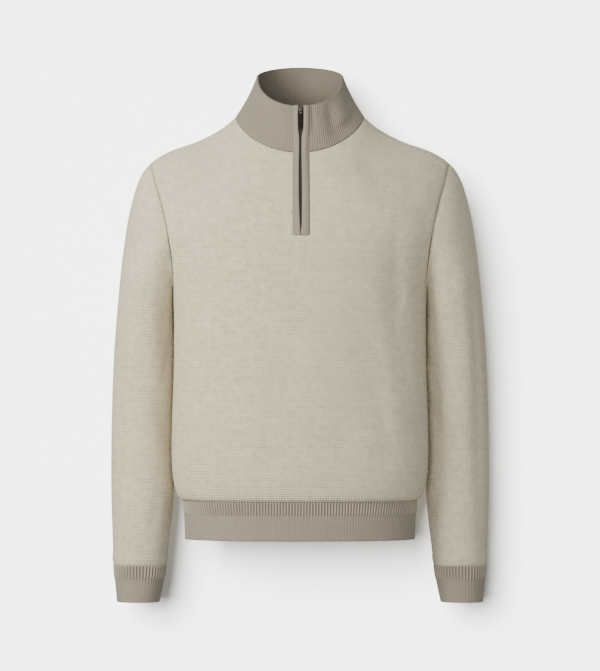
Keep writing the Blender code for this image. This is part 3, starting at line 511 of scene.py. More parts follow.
def sleeve_rings(hand, front_edge, back_edge, folds):
    """A sleeve's rings from the armhole down, and the turn of each column."""
    loop = np.concatenate([front_edge[::-1], back_edge[1:-1]])
    count = len(loop)
    turns = np.arange(count) * 2 * math.pi / count
    out, ahead = oval(turns, SLEEVE_BULGE)
    tip = front_edge[-1]
    underarm = front_edge[0]
    chord = (tip - underarm) * np.array([1, 0, 1])
    half = np.linalg.norm(chord) / 2
    chord = chord / (2 * half)
    square = np.array([-chord[2], 0, chord[0]])
    from_middle = loop - (tip + underarm) / 2
    loop_out = from_middle @ chord / half
    loop_off = from_middle @ square
    middle_y = (loop[:, 1].min() + loop[:, 1].max()) / 2
    loop_ahead = (middle_y - loop[:, 1]) / (np.ptp(loop[:, 1]) / 2)
    rings = [loop]
    for number, row in enumerate(SLEEVE, start=1):
        loop_share = max(1 - number / CAP_SECTIONS, 0)
        outer = np.array([hand * row.outer_x, row.middle_y, row.outer_z])
        inner = np.array([hand * row.inner_x, row.middle_y, row.inner_z])
        axis = (outer - inner) / np.linalg.norm(outer - inner)
        lift = np.array([-axis[2], 0, axis[0]])
        reach = np.linalg.norm(outer - inner) / 2 * (loop_share * loop_out + (1 - loop_share) * out)
        depth = row.half_depth * (loop_share * loop_ahead + (1 - loop_share) * ahead)
        ring = (outer + inner) / 2 + reach[:, None] * axis - depth[:, None] * np.array([0, 1, 0])
        rings.append(ring + (loop_share * loop_off)[:, None] * lift)
    rings = spline_rows(np.array(rings), SLEEVE_ROWS)
    inward = rings.mean(axis=1)[:, None] - rings
    inward = inward / np.linalg.norm(inward, axis=2)[..., None]
    press = sleeve_fold_depth(folds, turns[None, :], rings[..., 2])
    return rings + inward * press[..., None], turns


# The collar


def neck_points():
    """The collar's seam, from the slot's +X edge round by the back to its -X edge."""
    first = math.asin(SLOT_RIGHT / NECK_HALF_WIDTH)
    last = 2 * math.pi - math.asin(-SLOT_LEFT / NECK_HALF_WIDTH)
    angles = np.linspace(first, last, CURVE_STEPS)
    x, z = neck_seam(angles)
    y = np.where(np.cos(angles) > 0, body_y(x, z, True), body_y(x, z, False))
    return np.stack([x, y, z], axis=1)


def rim_point(angle):
    """The collar's rim at an angle from the middle of the front."""
    front = np.cos(angle) > 0
    depth = np.where(front, RIM_FRONT_DEPTH, RIM_BACK_DEPTH)
    drop = RIM_SIDE_Z - RIM_FRONT_DROP * power_cos(angle, RIM_FRONT_POWER)
    rise = RIM_SIDE_Z - RIM_BACK_RISE * np.cos(angle)
    x = RIM_HALF_WIDTH * np.sin(angle)
    return np.stack([x, -depth * np.cos(angle), np.where(front, drop, rise)], axis=-1)


def collar_surface(columns, heights):
    """The collar's plain outer surface, rows from the seam up to the rim."""
    first = math.asin(SLOT_RIGHT / RIM_HALF_WIDTH)
    last = 2 * math.pi - math.asin(-SLOT_LEFT / RIM_HALF_WIDTH)
    seam = resampled(neck_points(), columns)
    rim = resampled(rim_point(np.linspace(first, last, CURVE_STEPS)), columns)
    outward = rim * np.array([1, 1, 0])
    outward = outward / np.linalg.norm(outward, axis=1)[:, None]
    outward[[0, -1], 0] = 0
    rows = []
    for up in heights:
        hollow = COLLAR_HOLLOW * 4 * up * (1 - up) * outward[:, :1] ** 2
        rows.append((1 - up) * seam + up * rim - hollow * outward)
    return np.array(rows)


def front_line_y(x, z):
    """The depth of the sweater's front near its middle, on the panel or on the collar above it."""
    side = np.abs(x)
    _, seam_z = neck_seam(np.arcsin(side / NECK_HALF_WIDTH))
    seam_y = body_y(x, seam_z, True)
    rim = rim_point(np.arcsin(side / RIM_HALF_WIDTH))
    up = np.clip((z - seam_z) / (rim[..., 2] - seam_z), 0, 1.1)
    collar_y = (1 - up) * seam_y + up * rim[..., 1]
    return np.where(z > seam_z, collar_y, body_y(x, np.minimum(z, seam_z), True))


# Grids and meshes

# How deep the cloth turns in beside a seam, and how far from it.
Roll = namedtuple("Roll", "depth width")
SIDE_ROLL = Roll(0.35, 2.0)
SHOULDER_ROLL = Roll(0.3, 2.0)
NECK_ROLL = Roll(0.5, 1.6)
CAP_ROLL = Roll(0.3, 1.8)
CAP_DIP = Roll(1.2, 5.0)
HEM_ROLL = Roll(0.35, 1.6)
COLLAR_ROLL = Roll(0.35, 1.2)

# How far the cloth swells out beside a seam, where from it, and how widely.
Swell = namedtuple("Swell", "height place width")
ARMHOLE_SWELL = Swell(0.35, 6.0, 4.0)
CUFF_SWELL = Swell(1.2, 11.0, 8.0)


def grid_normals(points, round_it=False):
    """The outward directions of a grid of points."""
    if round_it:
        across = np.roll(points, -1, axis=1) - np.roll(points, 1, axis=1)
    else:
        across = np.gradient(points, axis=1)
    up = np.gradient(points, axis=0)
    normal = np.cross(across, up)
    return normal / np.maximum(np.linalg.norm(normal, axis=2), 1e-9)[..., None]


def from_edge(points, axis, end):
    """How far each point of a grid is from one edge, along its row or column."""
    steps = np.linalg.norm(np.diff(points, axis=axis), axis=2)
    zero = np.zeros_like(steps[:, :1] if axis else steps[:1])
    if end:
        steps = np.flip(steps, axis=axis)
    distance = np.concatenate([zero, np.cumsum(steps, axis=axis)], axis=axis)
    return np.flip(distance, axis=axis) if end else distance


def rolled(distance, roll):
    """How far the cloth turns in, at distances from a seam."""
    return roll.depth * np.exp(-((distance / roll.width) ** 1.5))


def swelled(distance, swell, share=1.0):
    """How far the cloth swells out, at distances from a seam."""
    return swell.height * share * np.exp(-(((distance - swell.place) / swell.width) ** 2))


def pull_edge(points, axis, end):
    """Moves an edge row or column half a seam gap towards the next one."""
    edge = -1 if end else 0
    after = -2 if end else 1
    if axis == 0:
        towards = points[after] - points[edge]
        points[edge] += towards / np.linalg.norm(towards, axis=-1)[..., None] * SEAM_GAP / 2
    else:
        towards = points[:, after] - points[:, edge]
        points[:, edge] += towards / np.linalg.norm(towards, axis=-1)[..., None] * SEAM_GAP / 2


def cloth_object(name, points, uv, look, round_it=False, tube=False, dropped=None):
    """A sheet from a grid of points in millimetres, with its pattern's places in the map "cloth".

    round_it joins the last column to the first. tube joins the last row to the first and closes the
    ends. dropped are the faces that are cut out.
    """
    if round_it:
        points = np.concatenate([points, points[:, :1]], axis=1)
    if tube:
        points = np.concatenate([points, points[:1]], axis=0)
    rows, columns = points.shape[:2]
    form = bmesh.new()
    bmesh.ops.create_grid(form, x_segments=columns - 1, y_segments=rows - 1, size=1.0)
    mesh = bpy.data.meshes.new(name)
    form.to_mesh(mesh)
    form.free()
    mesh.vertices.foreach_set("co", (points * MM).astype(np.float32).ravel())
    corners = np.zeros(len(mesh.loops), np.int32)
    mesh.loops.foreach_get("vertex_index", corners)
    layer = mesh.uv_layers.new(name="cloth")
    layer.data.foreach_set("uv", uv.reshape(-1, 2)[corners].astype(np.float32).ravel())
    form = bmesh.new()
    form.from_mesh(mesh)
    if dropped is not None:
        form.faces.ensure_lookup_table()
        bmesh.ops.delete(form, geom=[form.faces[i] for i in dropped], context="FACES")
    if round_it or tube:
        bmesh.ops.remove_doubles(form, verts=form.verts, dist=1e-6)
    if tube and not round_it:
        rim = [edge for edge in form.edges if edge.is_boundary]
        bmesh.ops.holes_fill(form, edges=rim, sides=0)
    if tube:
        bmesh.ops.recalc_face_normals(form, faces=form.faces)
    form.to_mesh(mesh)
    form.free()
    mesh.shade_smooth()
    mesh.materials.append(look)
    made = bpy.data.objects.new(name, mesh)
    bpy.context.scene.collection.objects.link(made)
    return made


def thicken(made, thickness):
    """Gives a sheet its thickness, inwards from its outer face."""
    wall = made.modifiers.new("wall", "SOLIDIFY")
    wall.thickness = thickness * MM
    wall.offset = -1


def dress(made, nodes, body="garment"):
    """Puts a finished piece on its body, in place of its solids."""
    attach(made, body)
    if nodes:
        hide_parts(*nodes)


def surface_area(points):
    """The area of a grid of points in millimetres, in square metres."""
    first = points[1:, 1:] - points[:-1, :-1]
    second = points[1:, :-1] - points[:-1, 1:]
    return float(np.linalg.norm(np.cross(first, second), axis=2).sum() / 2) * MM * MM


# Shader expressions


class Signal:
    """A shader socket that takes part in Python expressions. Each operator adds a Math node."""

    def __init__(self, nodes, socket):
        self.nodes = nodes
        self.socket = socket

    def math(self, operation, *values):
        return self.nodes.add("ShaderNodeMath", {"operation": operation}, dict(enumerate(values)))

    def __add__(self, other):
        return self.math("ADD", self, other)

    __radd__ = __add__

    def __sub__(self, other):
        return self.math("SUBTRACT", self, other)

    def __rsub__(self, other):
        return self.math("SUBTRACT", other, self)

    def __mul__(self, other):
        return self.math("MULTIPLY", self, other)

    __rmul__ = __mul__

    def __truediv__(self, other):
        return self.math("DIVIDE", self, other)

    def wave(self):
        """A smooth wave from -1 to 1, one for each unit."""
        return self.math("SINE", self * (2 * math.pi))

    def clamped(self):
        return self.math("MINIMUM", self.math("MAXIMUM", self, 0.0), 1.0)

    def between(self, low, high):
        """0 below low and 1 above high, with soft ends."""
        return self.nodes.add(
            "ShaderNodeMapRange",
            {"interpolation_type": "SMOOTHSTEP"},
            {0: self, 1: low, 2: high, 3: 0.0, 4: 1.0},
        )


class Nodes:
    """A material and the making of its nodes."""

    def __init__(self, name, roughness, metallic=0.0, sheen=0.0, specular=0.3):
        self.material = bpy.data.materials.new(name)
        self.material.use_nodes = True
        self.tree = self.material.node_tree
        self.shader = self.tree.nodes["Principled BSDF"]
        self.shader.inputs["Roughness"].default_value = roughness
        self.shader.inputs["Metallic"].default_value = metallic
        self.shader.inputs["Sheen Weight"].default_value = sheen
        self.shader.inputs["Sheen Roughness"].default_value = 0.45
        self.shader.inputs["Specular IOR Level"].default_value = specular

    def add(self, kind, settings=None, values=None, output=0):
        node = self.tree.nodes.new(kind)
        for name, value in (settings or {}).items():
            setattr(node, name, value)
        for key, value in (values or {}).items():
            self.put(node.inputs[key], value)
        return Signal(self, node.outputs[output])

    def put(self, socket, value):
        if isinstance(value, Signal):
            self.tree.links.new(value.socket, socket)
        else:
            socket.default_value = value

    def set(self, name, value):
        self.put(self.shader.inputs[name], value)

    def noise(self, place, scale, detail=2.0, roughness=0.5):
        values = {"Vector": place, "Scale": scale, "Detail": detail, "Roughness": roughness}
        return self.add("ShaderNodeTexNoise", {}, values)

    def place(self):
        return self.add("ShaderNodeTexCoord", output=3)

    def cloth_map(self):
        """The pattern's place across and along the cloth, and both as one vector."""
        vector = self.add("ShaderNodeUVMap", {"uv_map": "cloth"})
        split = self.tree.nodes.new("ShaderNodeSeparateXYZ")
        self.put(split.inputs[0], vector)
        return Signal(self, split.outputs[0]), Signal(self, split.outputs[1]), vector

    def mix(self, share, first, second):
        values = {0: share, 6: first, 7: second}
        return self.add("ShaderNodeMix", {"data_type": "RGBA"}, values, output=2)

    def bump(self, height, distance, strength=1.0):
        values = {"Height": height, "Distance": distance, "Strength": strength}
        return self.add("ShaderNodeBump", {}, values)


def shade(color, factor):
    """A colour made lighter or darker, as a socket's value."""
    return (*(min(c * factor, 1.0) for c in color[:3]), 1.0)


def knit_look(name, color, course_pitch, stitch_pitch, grain, rib_height, rib_pitch):
    """Fine knit with level courses. Its map is in metres, and it is gathered where the ribs start. Its colour
    is painted darker in the valleys and lighter on the crests of the courses, stitches and pleats, as painted
    shade and light.
    """
    nodes = Nodes(name, 0.9, sheen=0.18, specular=0.15)
    across, up, vector = nodes.cloth_map()
    place = nodes.place()
    drift = nodes.noise(vector, 55.0, 2.0) - 0.5
    clear = nodes.noise(vector, 95.0, 3.0).between(0.3, 0.7) * 1.3 + 0.25
    course = ((up + drift * (0.5 * course_pitch)) / course_pitch).wave() * clear
    wale = ((across + drift * (0.4 * stitch_pitch)) / stitch_pitch).wave()
    stitch = wale * ((up / course_pitch).wave() * 0.6 + 0.4)
    fibre = nodes.noise(place, 1700.0, 3.0, 0.6) - 0.5
    patch = nodes.noise(place, 420.0, 2.0) - 0.5
    cloud = nodes.noise(place, 28.0, 3.0) - 0.5
    gathered = 1.0 - up.between(rib_height, rib_height + 0.011)
    pleat = (across / rib_pitch).wave() * gathered
    # painted shade and light: darker in the valleys and lighter on the crests of courses, stitches and pleats;
    # fibre, patch and cloud are the yarn's random tone
    tone = course * (0.26 * grain) + stitch * (0.13 * grain) + pleat * 0.12
    tone = tone + fibre * 0.9 + patch * 0.8 + cloud * 0.4
    nodes.set("Base Color", nodes.mix((tone + 0.5).clamped(), shade(color, 0.8), shade(color, 1.2)))
    height = course * 0.6 + stitch * 0.4 + fibre * 0.8 + patch * 0.6 + pleat * 1.2
    nodes.set("Normal", nodes.bump(height, 0.0006 * grain, 1.0))
    return nodes.material


CROWN_REACH = 0.0010


def rib_look(name, color, stitch_height, edge=None, change=None, neighbour=None, fold=None):
    """Ribbed knit. Its map counts ribs across, and is in metres along them. Its valleys are painted darker and
    its crowns lighter, as painted shade and light.

    Above the change the ribs are loose and deep, with stronger painted light on their crowns and painted shade
    in their valleys. At the edge their crowns reach into the next knit.
    Past the fold lies the inner layer, painted darker as the shade inside the collar.
    """
    nodes = Nodes(name, 0.88, sheen=0.16, specular=0.18)
    across, up, _ = nodes.cloth_map()
    place = nodes.place()
    crown = ((across + 0.25).wave() * 0.5 + 0.5).clamped()
    stitch = (up / stitch_height + (across * 2.0).wave() * 0.12).wave()
    fibre = nodes.noise(place, 1900.0, 3.0, 0.6) - 0.5
    patch = nodes.noise(place, 420.0, 2.0) - 0.5
    cloud = nodes.noise(place, 34.0, 3.0) - 0.5
    grain = stitch * 0.03 + fibre * 0.6 + patch * 0.5 + cloud * 0.2
    height = crown * 0.6 + stitch * 0.2 + fibre * 0.6 + patch * 0.5
    # painted shade and light: the valleys are darker and the crowns lighter
    if change is None:
        tone = crown * 0.16 + 0.42
    else:
        # where the ribs are loose, the painted light on the crowns and the painted shade in the valleys are
        # stronger
        loose = up.between(change - 0.0012, change + 0.0012)
        tone = crown * (loose * 0.75 + 0.07) + (0.46 - loose * 0.24)
        height = height + crown * loose * 1.5
    cloth = nodes.mix((tone + grain).clamped(), shade(color, 0.6), shade(color, 1.4))
    if neighbour is not None:
        reached = (up + crown * CROWN_REACH).between(edge - 0.0001, edge + 0.0004)
        cloth = nodes.mix(reached, cloth, shade(neighbour, 0.97))
    if fold is not None:
        # painted shade: the collar's inner layer is darkened for the shade that falls inside the collar
        cloth = nodes.mix(up.between(fold + 0.0035, fold + 0.007) * 0.5, cloth, shade(color, 0.45))
    nodes.set("Base Color", cloth)
    nodes.set("Normal", nodes.bump(height, 0.0005, 1.0))
    return nodes.material


TAPE_WEAVE = 0.0006


def tape_look(name, color):
    """A fine woven tape."""
    nodes = Nodes(name, 0.8, specular=0.25)
    across, up, _ = nodes.cloth_map()
    weave = (across / TAPE_WEAVE).wave() * (up / TAPE_WEAVE).wave()
    grain = nodes.noise(nodes.place(), 900.0, 2.0) - 0.5
    tone = (weave * 0.2 + grain * 0.5 + 0.5).clamped()
    nodes.set("Base Color", nodes.mix(tone, shade(color, 0.7), shade(color, 1.5)))
    nodes.set("Normal", nodes.bump(weave + grain, 0.0001, 0.7))
    return nodes.material


def metal_look(name, color, roughness):
    """Dark plated metal with fine brushing and worn places."""
    nodes = Nodes(name, roughness, metallic=1.0, specular=0.5)
    place = nodes.place()
    stretched = nodes.add("ShaderNodeMapping", {}, {"Vector": place, "Scale": (1.0, 1.0, 0.08)})
    brushed = nodes.noise(stretched, 6000.0, 2.0) - 0.5
    cloud = nodes.noise(place, 350.0, 3.0)
    nodes.set("Base Color", nodes.mix(cloud.between(0.35, 0.7), shade(color, 0.75), shade(color, 1.35)))
    nodes.set("Roughness", (brushed * 0.2 + cloud * 0.12 + (roughness - 0.06)).clamped())
    nodes.set("Normal", nodes.bump(brushed, 0.00003, 0.6))
    return nodes.material


def coil_look(name, color):
    """Moulded nylon of the zip's teeth."""
    nodes = Nodes(name, 0.42, specular=0.4)
    mottle = nodes.noise(nodes.place(), 1200.0, 2.0)
    nodes.set("Base Color", nodes.mix(mottle, shade(color, 0.8), shade(color, 1.3)))
    nodes.set("Roughness", mottle * 0.2 + 0.34)
    nodes.set("Normal", nodes.bump(mottle, 0.00004, 0.5))
    return nodes.material


# Sizes and colours that a user may change


class SweaterCloth(bpy.types.PropertyGroup):
    beige: bpy.props.FloatVectorProperty(
        name="Beige",
        description="Colour of the body and sleeves",
        subtype="COLOR",
        default=(0.58, 0.515, 0.368),
    )
    taupe: bpy.props.FloatVectorProperty(
        name="Taupe", description="Colour of the ribs and bands", subtype="COLOR", default=(0.25, 0.217, 0.170)
    )
    course_pitch: bpy.props.FloatProperty(
        name="Course pitch",
        description="Height of one course of the body's knit",
        default=0.0035,
        unit="LENGTH",
    )
    stitch_pitch: bpy.props.FloatProperty(
        name="Stitch pitch", description="Width of one stitch of the body's knit", default=0.0027, unit="LENGTH"
    )
    grain: bpy.props.FloatProperty(
        name="Grain", description="How strongly the body's knit stands out", default=1.0, min=0.0, max=3.0
    )


class SweaterRibs(bpy.types.PropertyGroup):
    upper_relief: bpy.props.FloatProperty(
        name="Upper relief",
        description="Rise of the hem's and cuffs' ribs next to their seam",
        default=0.0017,
        unit="LENGTH",
    )
    lower_relief: bpy.props.FloatProperty(
        name="Lower relief", description="Rise of the ribs below that", default=0.0001, unit="LENGTH"
    )
    collar_relief: bpy.props.FloatProperty(
        name="Collar relief", description="Rise of the collar's ribs", default=0.0003, unit="LENGTH"
    )
    stitch_height: bpy.props.FloatProperty(
        name="Stitch height", description="Height of one stitch of the ribs", default=0.0022, unit="LENGTH"
    )


class SweaterZip(bpy.types.PropertyGroup):
    tooth_pitch: bpy.props.FloatProperty(
        name="Tooth pitch", description="Distance between teeth of one side", default=0.0016, unit="LENGTH"
    )
    tape: bpy.props.FloatVectorProperty(
        name="Tape", description="Colour of the zip's tapes", subtype="COLOR", default=(0.02, 0.017, 0.014)
    )
    metal: bpy.props.FloatVectorProperty(
        name="Metal", description="Colour of the slider and tab", subtype="COLOR", default=(0.1, 0.094, 0.088)
    )


class SweaterStudio(bpy.types.PropertyGroup):
    ground: bpy.props.FloatVectorProperty(
        name="Ground",
        description="Colour of the floor and backdrop",
        subtype="COLOR",
        default=(0.868, 0.86, 0.84),
    )
    key: bpy.props.FloatProperty(
        name="Key", description="Power of the large soft light at the upper left", default=54.0, unit="POWER"
    )
    fill: bpy.props.FloatProperty(
        name="Fill", description="Strength of the light near the camera", default=1.95
    )
    rear: bpy.props.FloatProperty(
        name="Rear", description="Strength of the light on the back", default=3.0
    )
    backdrop: bpy.props.FloatProperty(
        name="Backdrop", description="Strength of the backdrop's light", default=18.5
    )
    sky: bpy.props.FloatProperty(
        name="Sky", description="Strength of the light from all round", default=0.45
    )


LOOKS = {}
BODY_PLEAT = 0.0046  # the pitch at which the body is gathered into the hem
SLEEVE_PLEAT = 0.0056
COLLAR_LENGTH = 66.0  # from the collar's seam up to its rim


def looks():
    """The materials, made once from the settings."""
    if not LOOKS:
        cloth = bpy.context.scene.sweater_cloth
        ribs = bpy.context.scene.sweater_ribs
        zips = bpy.context.scene.sweater_zip
        knit = (cloth.beige, cloth.course_pitch, cloth.stitch_pitch, cloth.grain)
        body_edge = HEM_TOP * MM
        sleeve_edge = CUFF[0].height * MM
        deep = RIB_CHANGE * MM
        LOOKS["body"] = knit_look("beige_body", *knit, body_edge, BODY_PLEAT)
        LOOKS["sleeve"] = knit_look("beige_sleeve", *knit, sleeve_edge, SLEEVE_PLEAT)
        rib = (cloth.taupe, ribs.stitch_height)
        LOOKS["hem"] = rib_look("taupe_hem", *rib, body_edge, body_edge - deep, cloth.beige)
        LOOKS["cuff"] = rib_look("taupe_cuff", *rib, sleeve_edge, sleeve_edge - deep, cloth.beige)
        # painted shade: the collar's taupe is darkened for the shade that falls on the collar's sides and
        # inside
        collar_taupe_shaded = shade(cloth.taupe, 0.86)
        LOOKS["collar"] = rib_look("taupe_collar", collar_taupe_shaded, ribs.stitch_height, fold=COLLAR_LENGTH * MM)
        LOOKS["band"] = rib_look("taupe_band", *rib)
        LOOKS["tape"] = tape_look("dark_tape", zips.tape)
        LOOKS["coil"] = coil_look("dark_coil", zips.tape)
        LOOKS["slider"] = metal_look("gunmetal_slider", zips.metal, 0.36)
        LOOKS["tab"] = metal_look("gunmetal_tab", shade(zips.metal, 0.16), 0.55)
    return LOOKS


# The pieces


# The section along which the panels' cloth is measured, and the steps of that measure
CHEST_HALF_WIDTH = 204.0
CHEST_DEPTH = 115.0
TIP_X = 241.0
OUT_STEPS = 60
CLIMB_STEPS = 80


def panel_map(points, front):
    """Where each point of a panel lies on its flat cloth: round the body, and up its rows, in metres."""
    x = points[..., 0]
    z = points[..., 2]
    half_width = from_table(TORSO, "half_width", z)
    turn = np.linspace(0, math.pi / 2, CURVE_STEPS)
    across, ahead = power_cos(turn - math.pi / 2, 2 / BULGE), power_cos(turn, 2 / BULGE)
    section = np.stack([across * CHEST_HALF_WIDTH, ahead * CHEST_DEPTH, 0 * turn], axis=1)
    reach = np.interp(np.abs(x) / half_width, across, along(section)) * np.sign(x)
    # the rounding over the shoulder makes the cloth longer than its height, more so near the neck
    shoulder = FRONT_SHOULDER if front else BACK_SHOULDER
    places = np.linspace(0, TIP_X, OUT_STEPS)
    ridge = from_table(RIDGE, "height", places, by="x")
    thick = np.abs(body_y(places, ridge - shoulder, front) - from_table(RIDGE, "y", places, by="x"))
    below = np.linspace(0, 1, CLIMB_STEPS)
    rounding = (1 - (1 - below) ** SHOULDER_ROUND) ** (1 / SHOULDER_ROUND)
    steps = np.hypot(shoulder * np.diff(below)[:, None], np.diff(rounding)[:, None] * thick)
    climb = np.concatenate([np.cumsum(steps[::-1], axis=0)[::-1], np.zeros((1, len(places)))])
    start = from_table(RIDGE, "height", np.abs(x), by="x") - shoulder
    row = np.clip(1 - (z - start) / shoulder, 0, 1) * (len(below) - 1)
    col = np.interp(np.abs(x), places, np.arange(len(places)))
    low_row = np.minimum(row.astype(int), len(below) - 2)
    low_col = np.minimum(col.astype(int), len(places) - 2)
    a = row - low_row
    b = col - low_col
    rise = (1 - a) * ((1 - b) * climb[low_row, low_col] + b * climb[low_row, low_col + 1])
    rise = rise + a * ((1 - b) * climb[low_row + 1, low_col] + b * climb[low_row + 1, low_col + 1])
    return np.stack([reach, np.where(z < start, z, start + rise)], axis=2) * MM


PANELS = {}


def panels():
    """Both panels' points, made once."""
    if not PANELS:
        PANELS["front"] = panel_grid(True)
        PANELS["back"] = panel_grid(False)
    return PANELS


def make_panel(name, node, front):
    """A panel with its seams turned in. The front has the slot for the zip."""
    points = panels()["front" if front else "back"].copy()
    uv = panel_map(points, front)
    normal = grid_normals(points)
    left = from_edge(points, 1, False)
    right = from_edge(points, 1, True)
    top = from_edge(points, 0, True)
    over_shoulder = np.abs(points[-1:, :, 0]) > NECK_HALF_WIDTH + 1
    inward = rolled(left, SIDE_ROLL) + rolled(right, SIDE_ROLL)
    inward = inward + np.where(over_shoulder, rolled(top, SHOULDER_ROLL), rolled(top, NECK_ROLL))
    # the seam's turnings lie under the panel beside the armhole
    high = np.clip((points[..., 2] - ARMHOLE[0].height) / 40, 0, 1)
    side = np.minimum(left, right)
    inward = inward - swelled(side, ARMHOLE_SWELL, high)
    points = points - inward[..., None] * normal
    for axis, end in ((0, False), (0, True), (1, False), (1, True)):
        pull_edge(points, axis, end)
    dropped = None
    if front:
        columns = points.shape[1] - 1
        slot = range(HALF_COLUMNS, HALF_COLUMNS + SLOT_STEPS)
        dropped = [row * columns + column for row in range(SLOT_ROW, len(points) - 1) for column in slot]
    made = cloth_object(name, points, uv, looks()["body"], dropped=dropped)
    thicken(made, BODY_THICK)
    dress(made, [node])
    area = min(surface_area(points), 0.52 * 0.665)


# Above this height the sleeve bends in to the shoulder, round a centre beyond the body's middle.
BEND_HEIGHT = -330.0
BEND_CENTRE = 240.0
BEND_RADIUS = 490.0


def sleeve_map(rings, turns, hand):
    """Where each point of a sleeve lies on its flat cloth. Courses lie square to the sleeve's run."""
    reach = np.abs(rings[..., 0]) + BEND_CENTRE
    height = rings[..., 2] - BEND_HEIGHT
    up = np.where(height > 0, BEND_RADIUS * np.arctan2(height, reach), height)
    size = np.array([along(np.concatenate([ring, ring[:1]]))[-1] for ring in rings])
    share = np.broadcast_to(turns / (2 * math.pi), rings.shape[:2])
    across = share * size.mean()
    closing = np.concatenate([across, np.full((len(rings), 1), size.mean())], axis=1)
    up = np.concatenate([up, up[:, :1]], axis=1)
    return np.stack([closing * (1 if hand > 0 else -1), up], axis=2) * MM


def make_sleeve(name, node, hand, folds):
    """A sleeve, dipping to its armhole seam and swelling over the cuff's seam."""
    front = panels()["front"][UNDERARM_ROW:, -1 if hand > 0 else 0]
    back = panels()["back"][UNDERARM_ROW:, 0 if hand > 0 else -1]
    rings, turns = sleeve_rings(hand, front, back, folds)
    uv = sleeve_map(rings, turns, hand)
    if hand < 0:
        rings = np.roll(rings[:, ::-1], 1, axis=1)
        uv = uv[:, ::-1]
    normal = grid_normals(rings, round_it=True)
    top = from_edge(rings, 0, False)
    bottom = from_edge(rings, 0, True)
    # at the shoulder's tip the sleeve lies level with the panels, lower down it dips towards the seam
    low = np.clip((-95 - rings[:1, :, 2]) / 40, 0, 1)
    inward = rolled(top, CAP_DIP) * low + rolled(top, CAP_ROLL)
    inward = inward - swelled(bottom, CUFF_SWELL)
    points = rings - inward[..., None] * normal
    pull_edge(points, 0, False)
    pull_edge(points, 0, True)
    made = cloth_object(name, points, uv, looks()["sleeve"], round_it=True)
    thicken(made, BODY_THICK)
    dress(made, [node])
    area = min(surface_area(np.concatenate([points, points[:, :1]], axis=1)), 0.40 * 0.665)


def rib_profile(ribs):
    """The rise of ribs, 1 on each crown and 0 in each valley."""
    return 0.5 + 0.5 * np.cos(2 * math.pi * ribs)


def folded_band(outer, outward, thick, relief, ribs, arc_steps, inner_rows, bottom):
    """A ribbed band's whole skin: its outer rows, a rounded free edge, and its inner rows.

    bottom says that the free edge is the first row, and otherwise it is the last. Rows come out in
    the order that goes up the outside.
    """
    free = 0 if bottom else -1
    level = outward[free].copy()
    level[:, 2] = 0
    level = level / np.linalg.norm(level, axis=1)[:, None]
    after = outer[1 if bottom else -2]
    away = outer[free] - after
    away = away / np.linalg.norm(away, axis=1)[:, None]
    crown = rib_profile(ribs)
    skin = outer + outward * (relief * crown)[..., None]
    centre = outer[free] - level * thick / 2
    turns = np.linspace(0, math.pi, arc_steps + 2)[1:-1]
    rise = (relief * crown)[free]
    arc = [
        centre + level * (math.cos(t) * (thick / 2 + rise * max(math.cos(t), 0)))[:, None]
        + away * (math.sin(t) * thick / 2)
        for t in turns
    ]
    picks = np.linspace(0, len(outer) - 1, inner_rows).astype(int)
    inner = outer[picks] - outward[picks] * thick + outward[picks] * (0.3 * crown[picks])[..., None]
    if bottom:
        return np.concatenate([skin, inner[::-1], np.array(arc)[::-1]])
    return np.concatenate([skin, np.array(arc), inner[::-1]])


def level_directions(points, round_it=False):
    """Outward directions square to the upright of a grid that goes round."""
    if round_it:
        step = np.roll(points, -1, axis=1) - np.roll(points, 1, axis=1)
    else:
        step = np.gradient(points, axis=1)
    out = np.stack([step[..., 1], -step[..., 0], 0 * step[..., 0]], axis=-1)
    return out / np.linalg.norm(out, axis=-1)[..., None]


HEM_TOP = -609.0
HEM_BOTTOM = -670.5
HEM_THICK = 2.6
HEM_RIBS_HALF = 100
RIB_SAMPLES = 6  # points across one rib
RIB_CHANGE = 20.0  # how far below their seam the loose ribs end
RIB_LEAN = 0.16  # sideways for each millimetre down
HEM_RIB_PITCH = 4.8
HEM_FINE = 24.0  # the height below the seam in which rows lie closer
FINE_ROWS = 17
PLAIN_ROWS = 12


def rib_relief(down):
    """The rise of the hem's and cuffs' ribs, at distances below their seam, in millimetres."""
    ribs = bpy.context.scene.sweater_ribs
    high = ribs.upper_relief / MM
    low = ribs.lower_relief / MM
    fade = 1 / (1 + np.exp((down - RIB_CHANGE) / 1.6))
    return low + (high - low) * fade


def rib_heights(bottom, top, fine):
    """The heights of a rib's rows, closer in its upper part."""
    change = top - fine
    return np.concatenate([np.linspace(bottom, change, PLAIN_ROWS)[:-1], np.linspace(change, top, FINE_ROWS)])


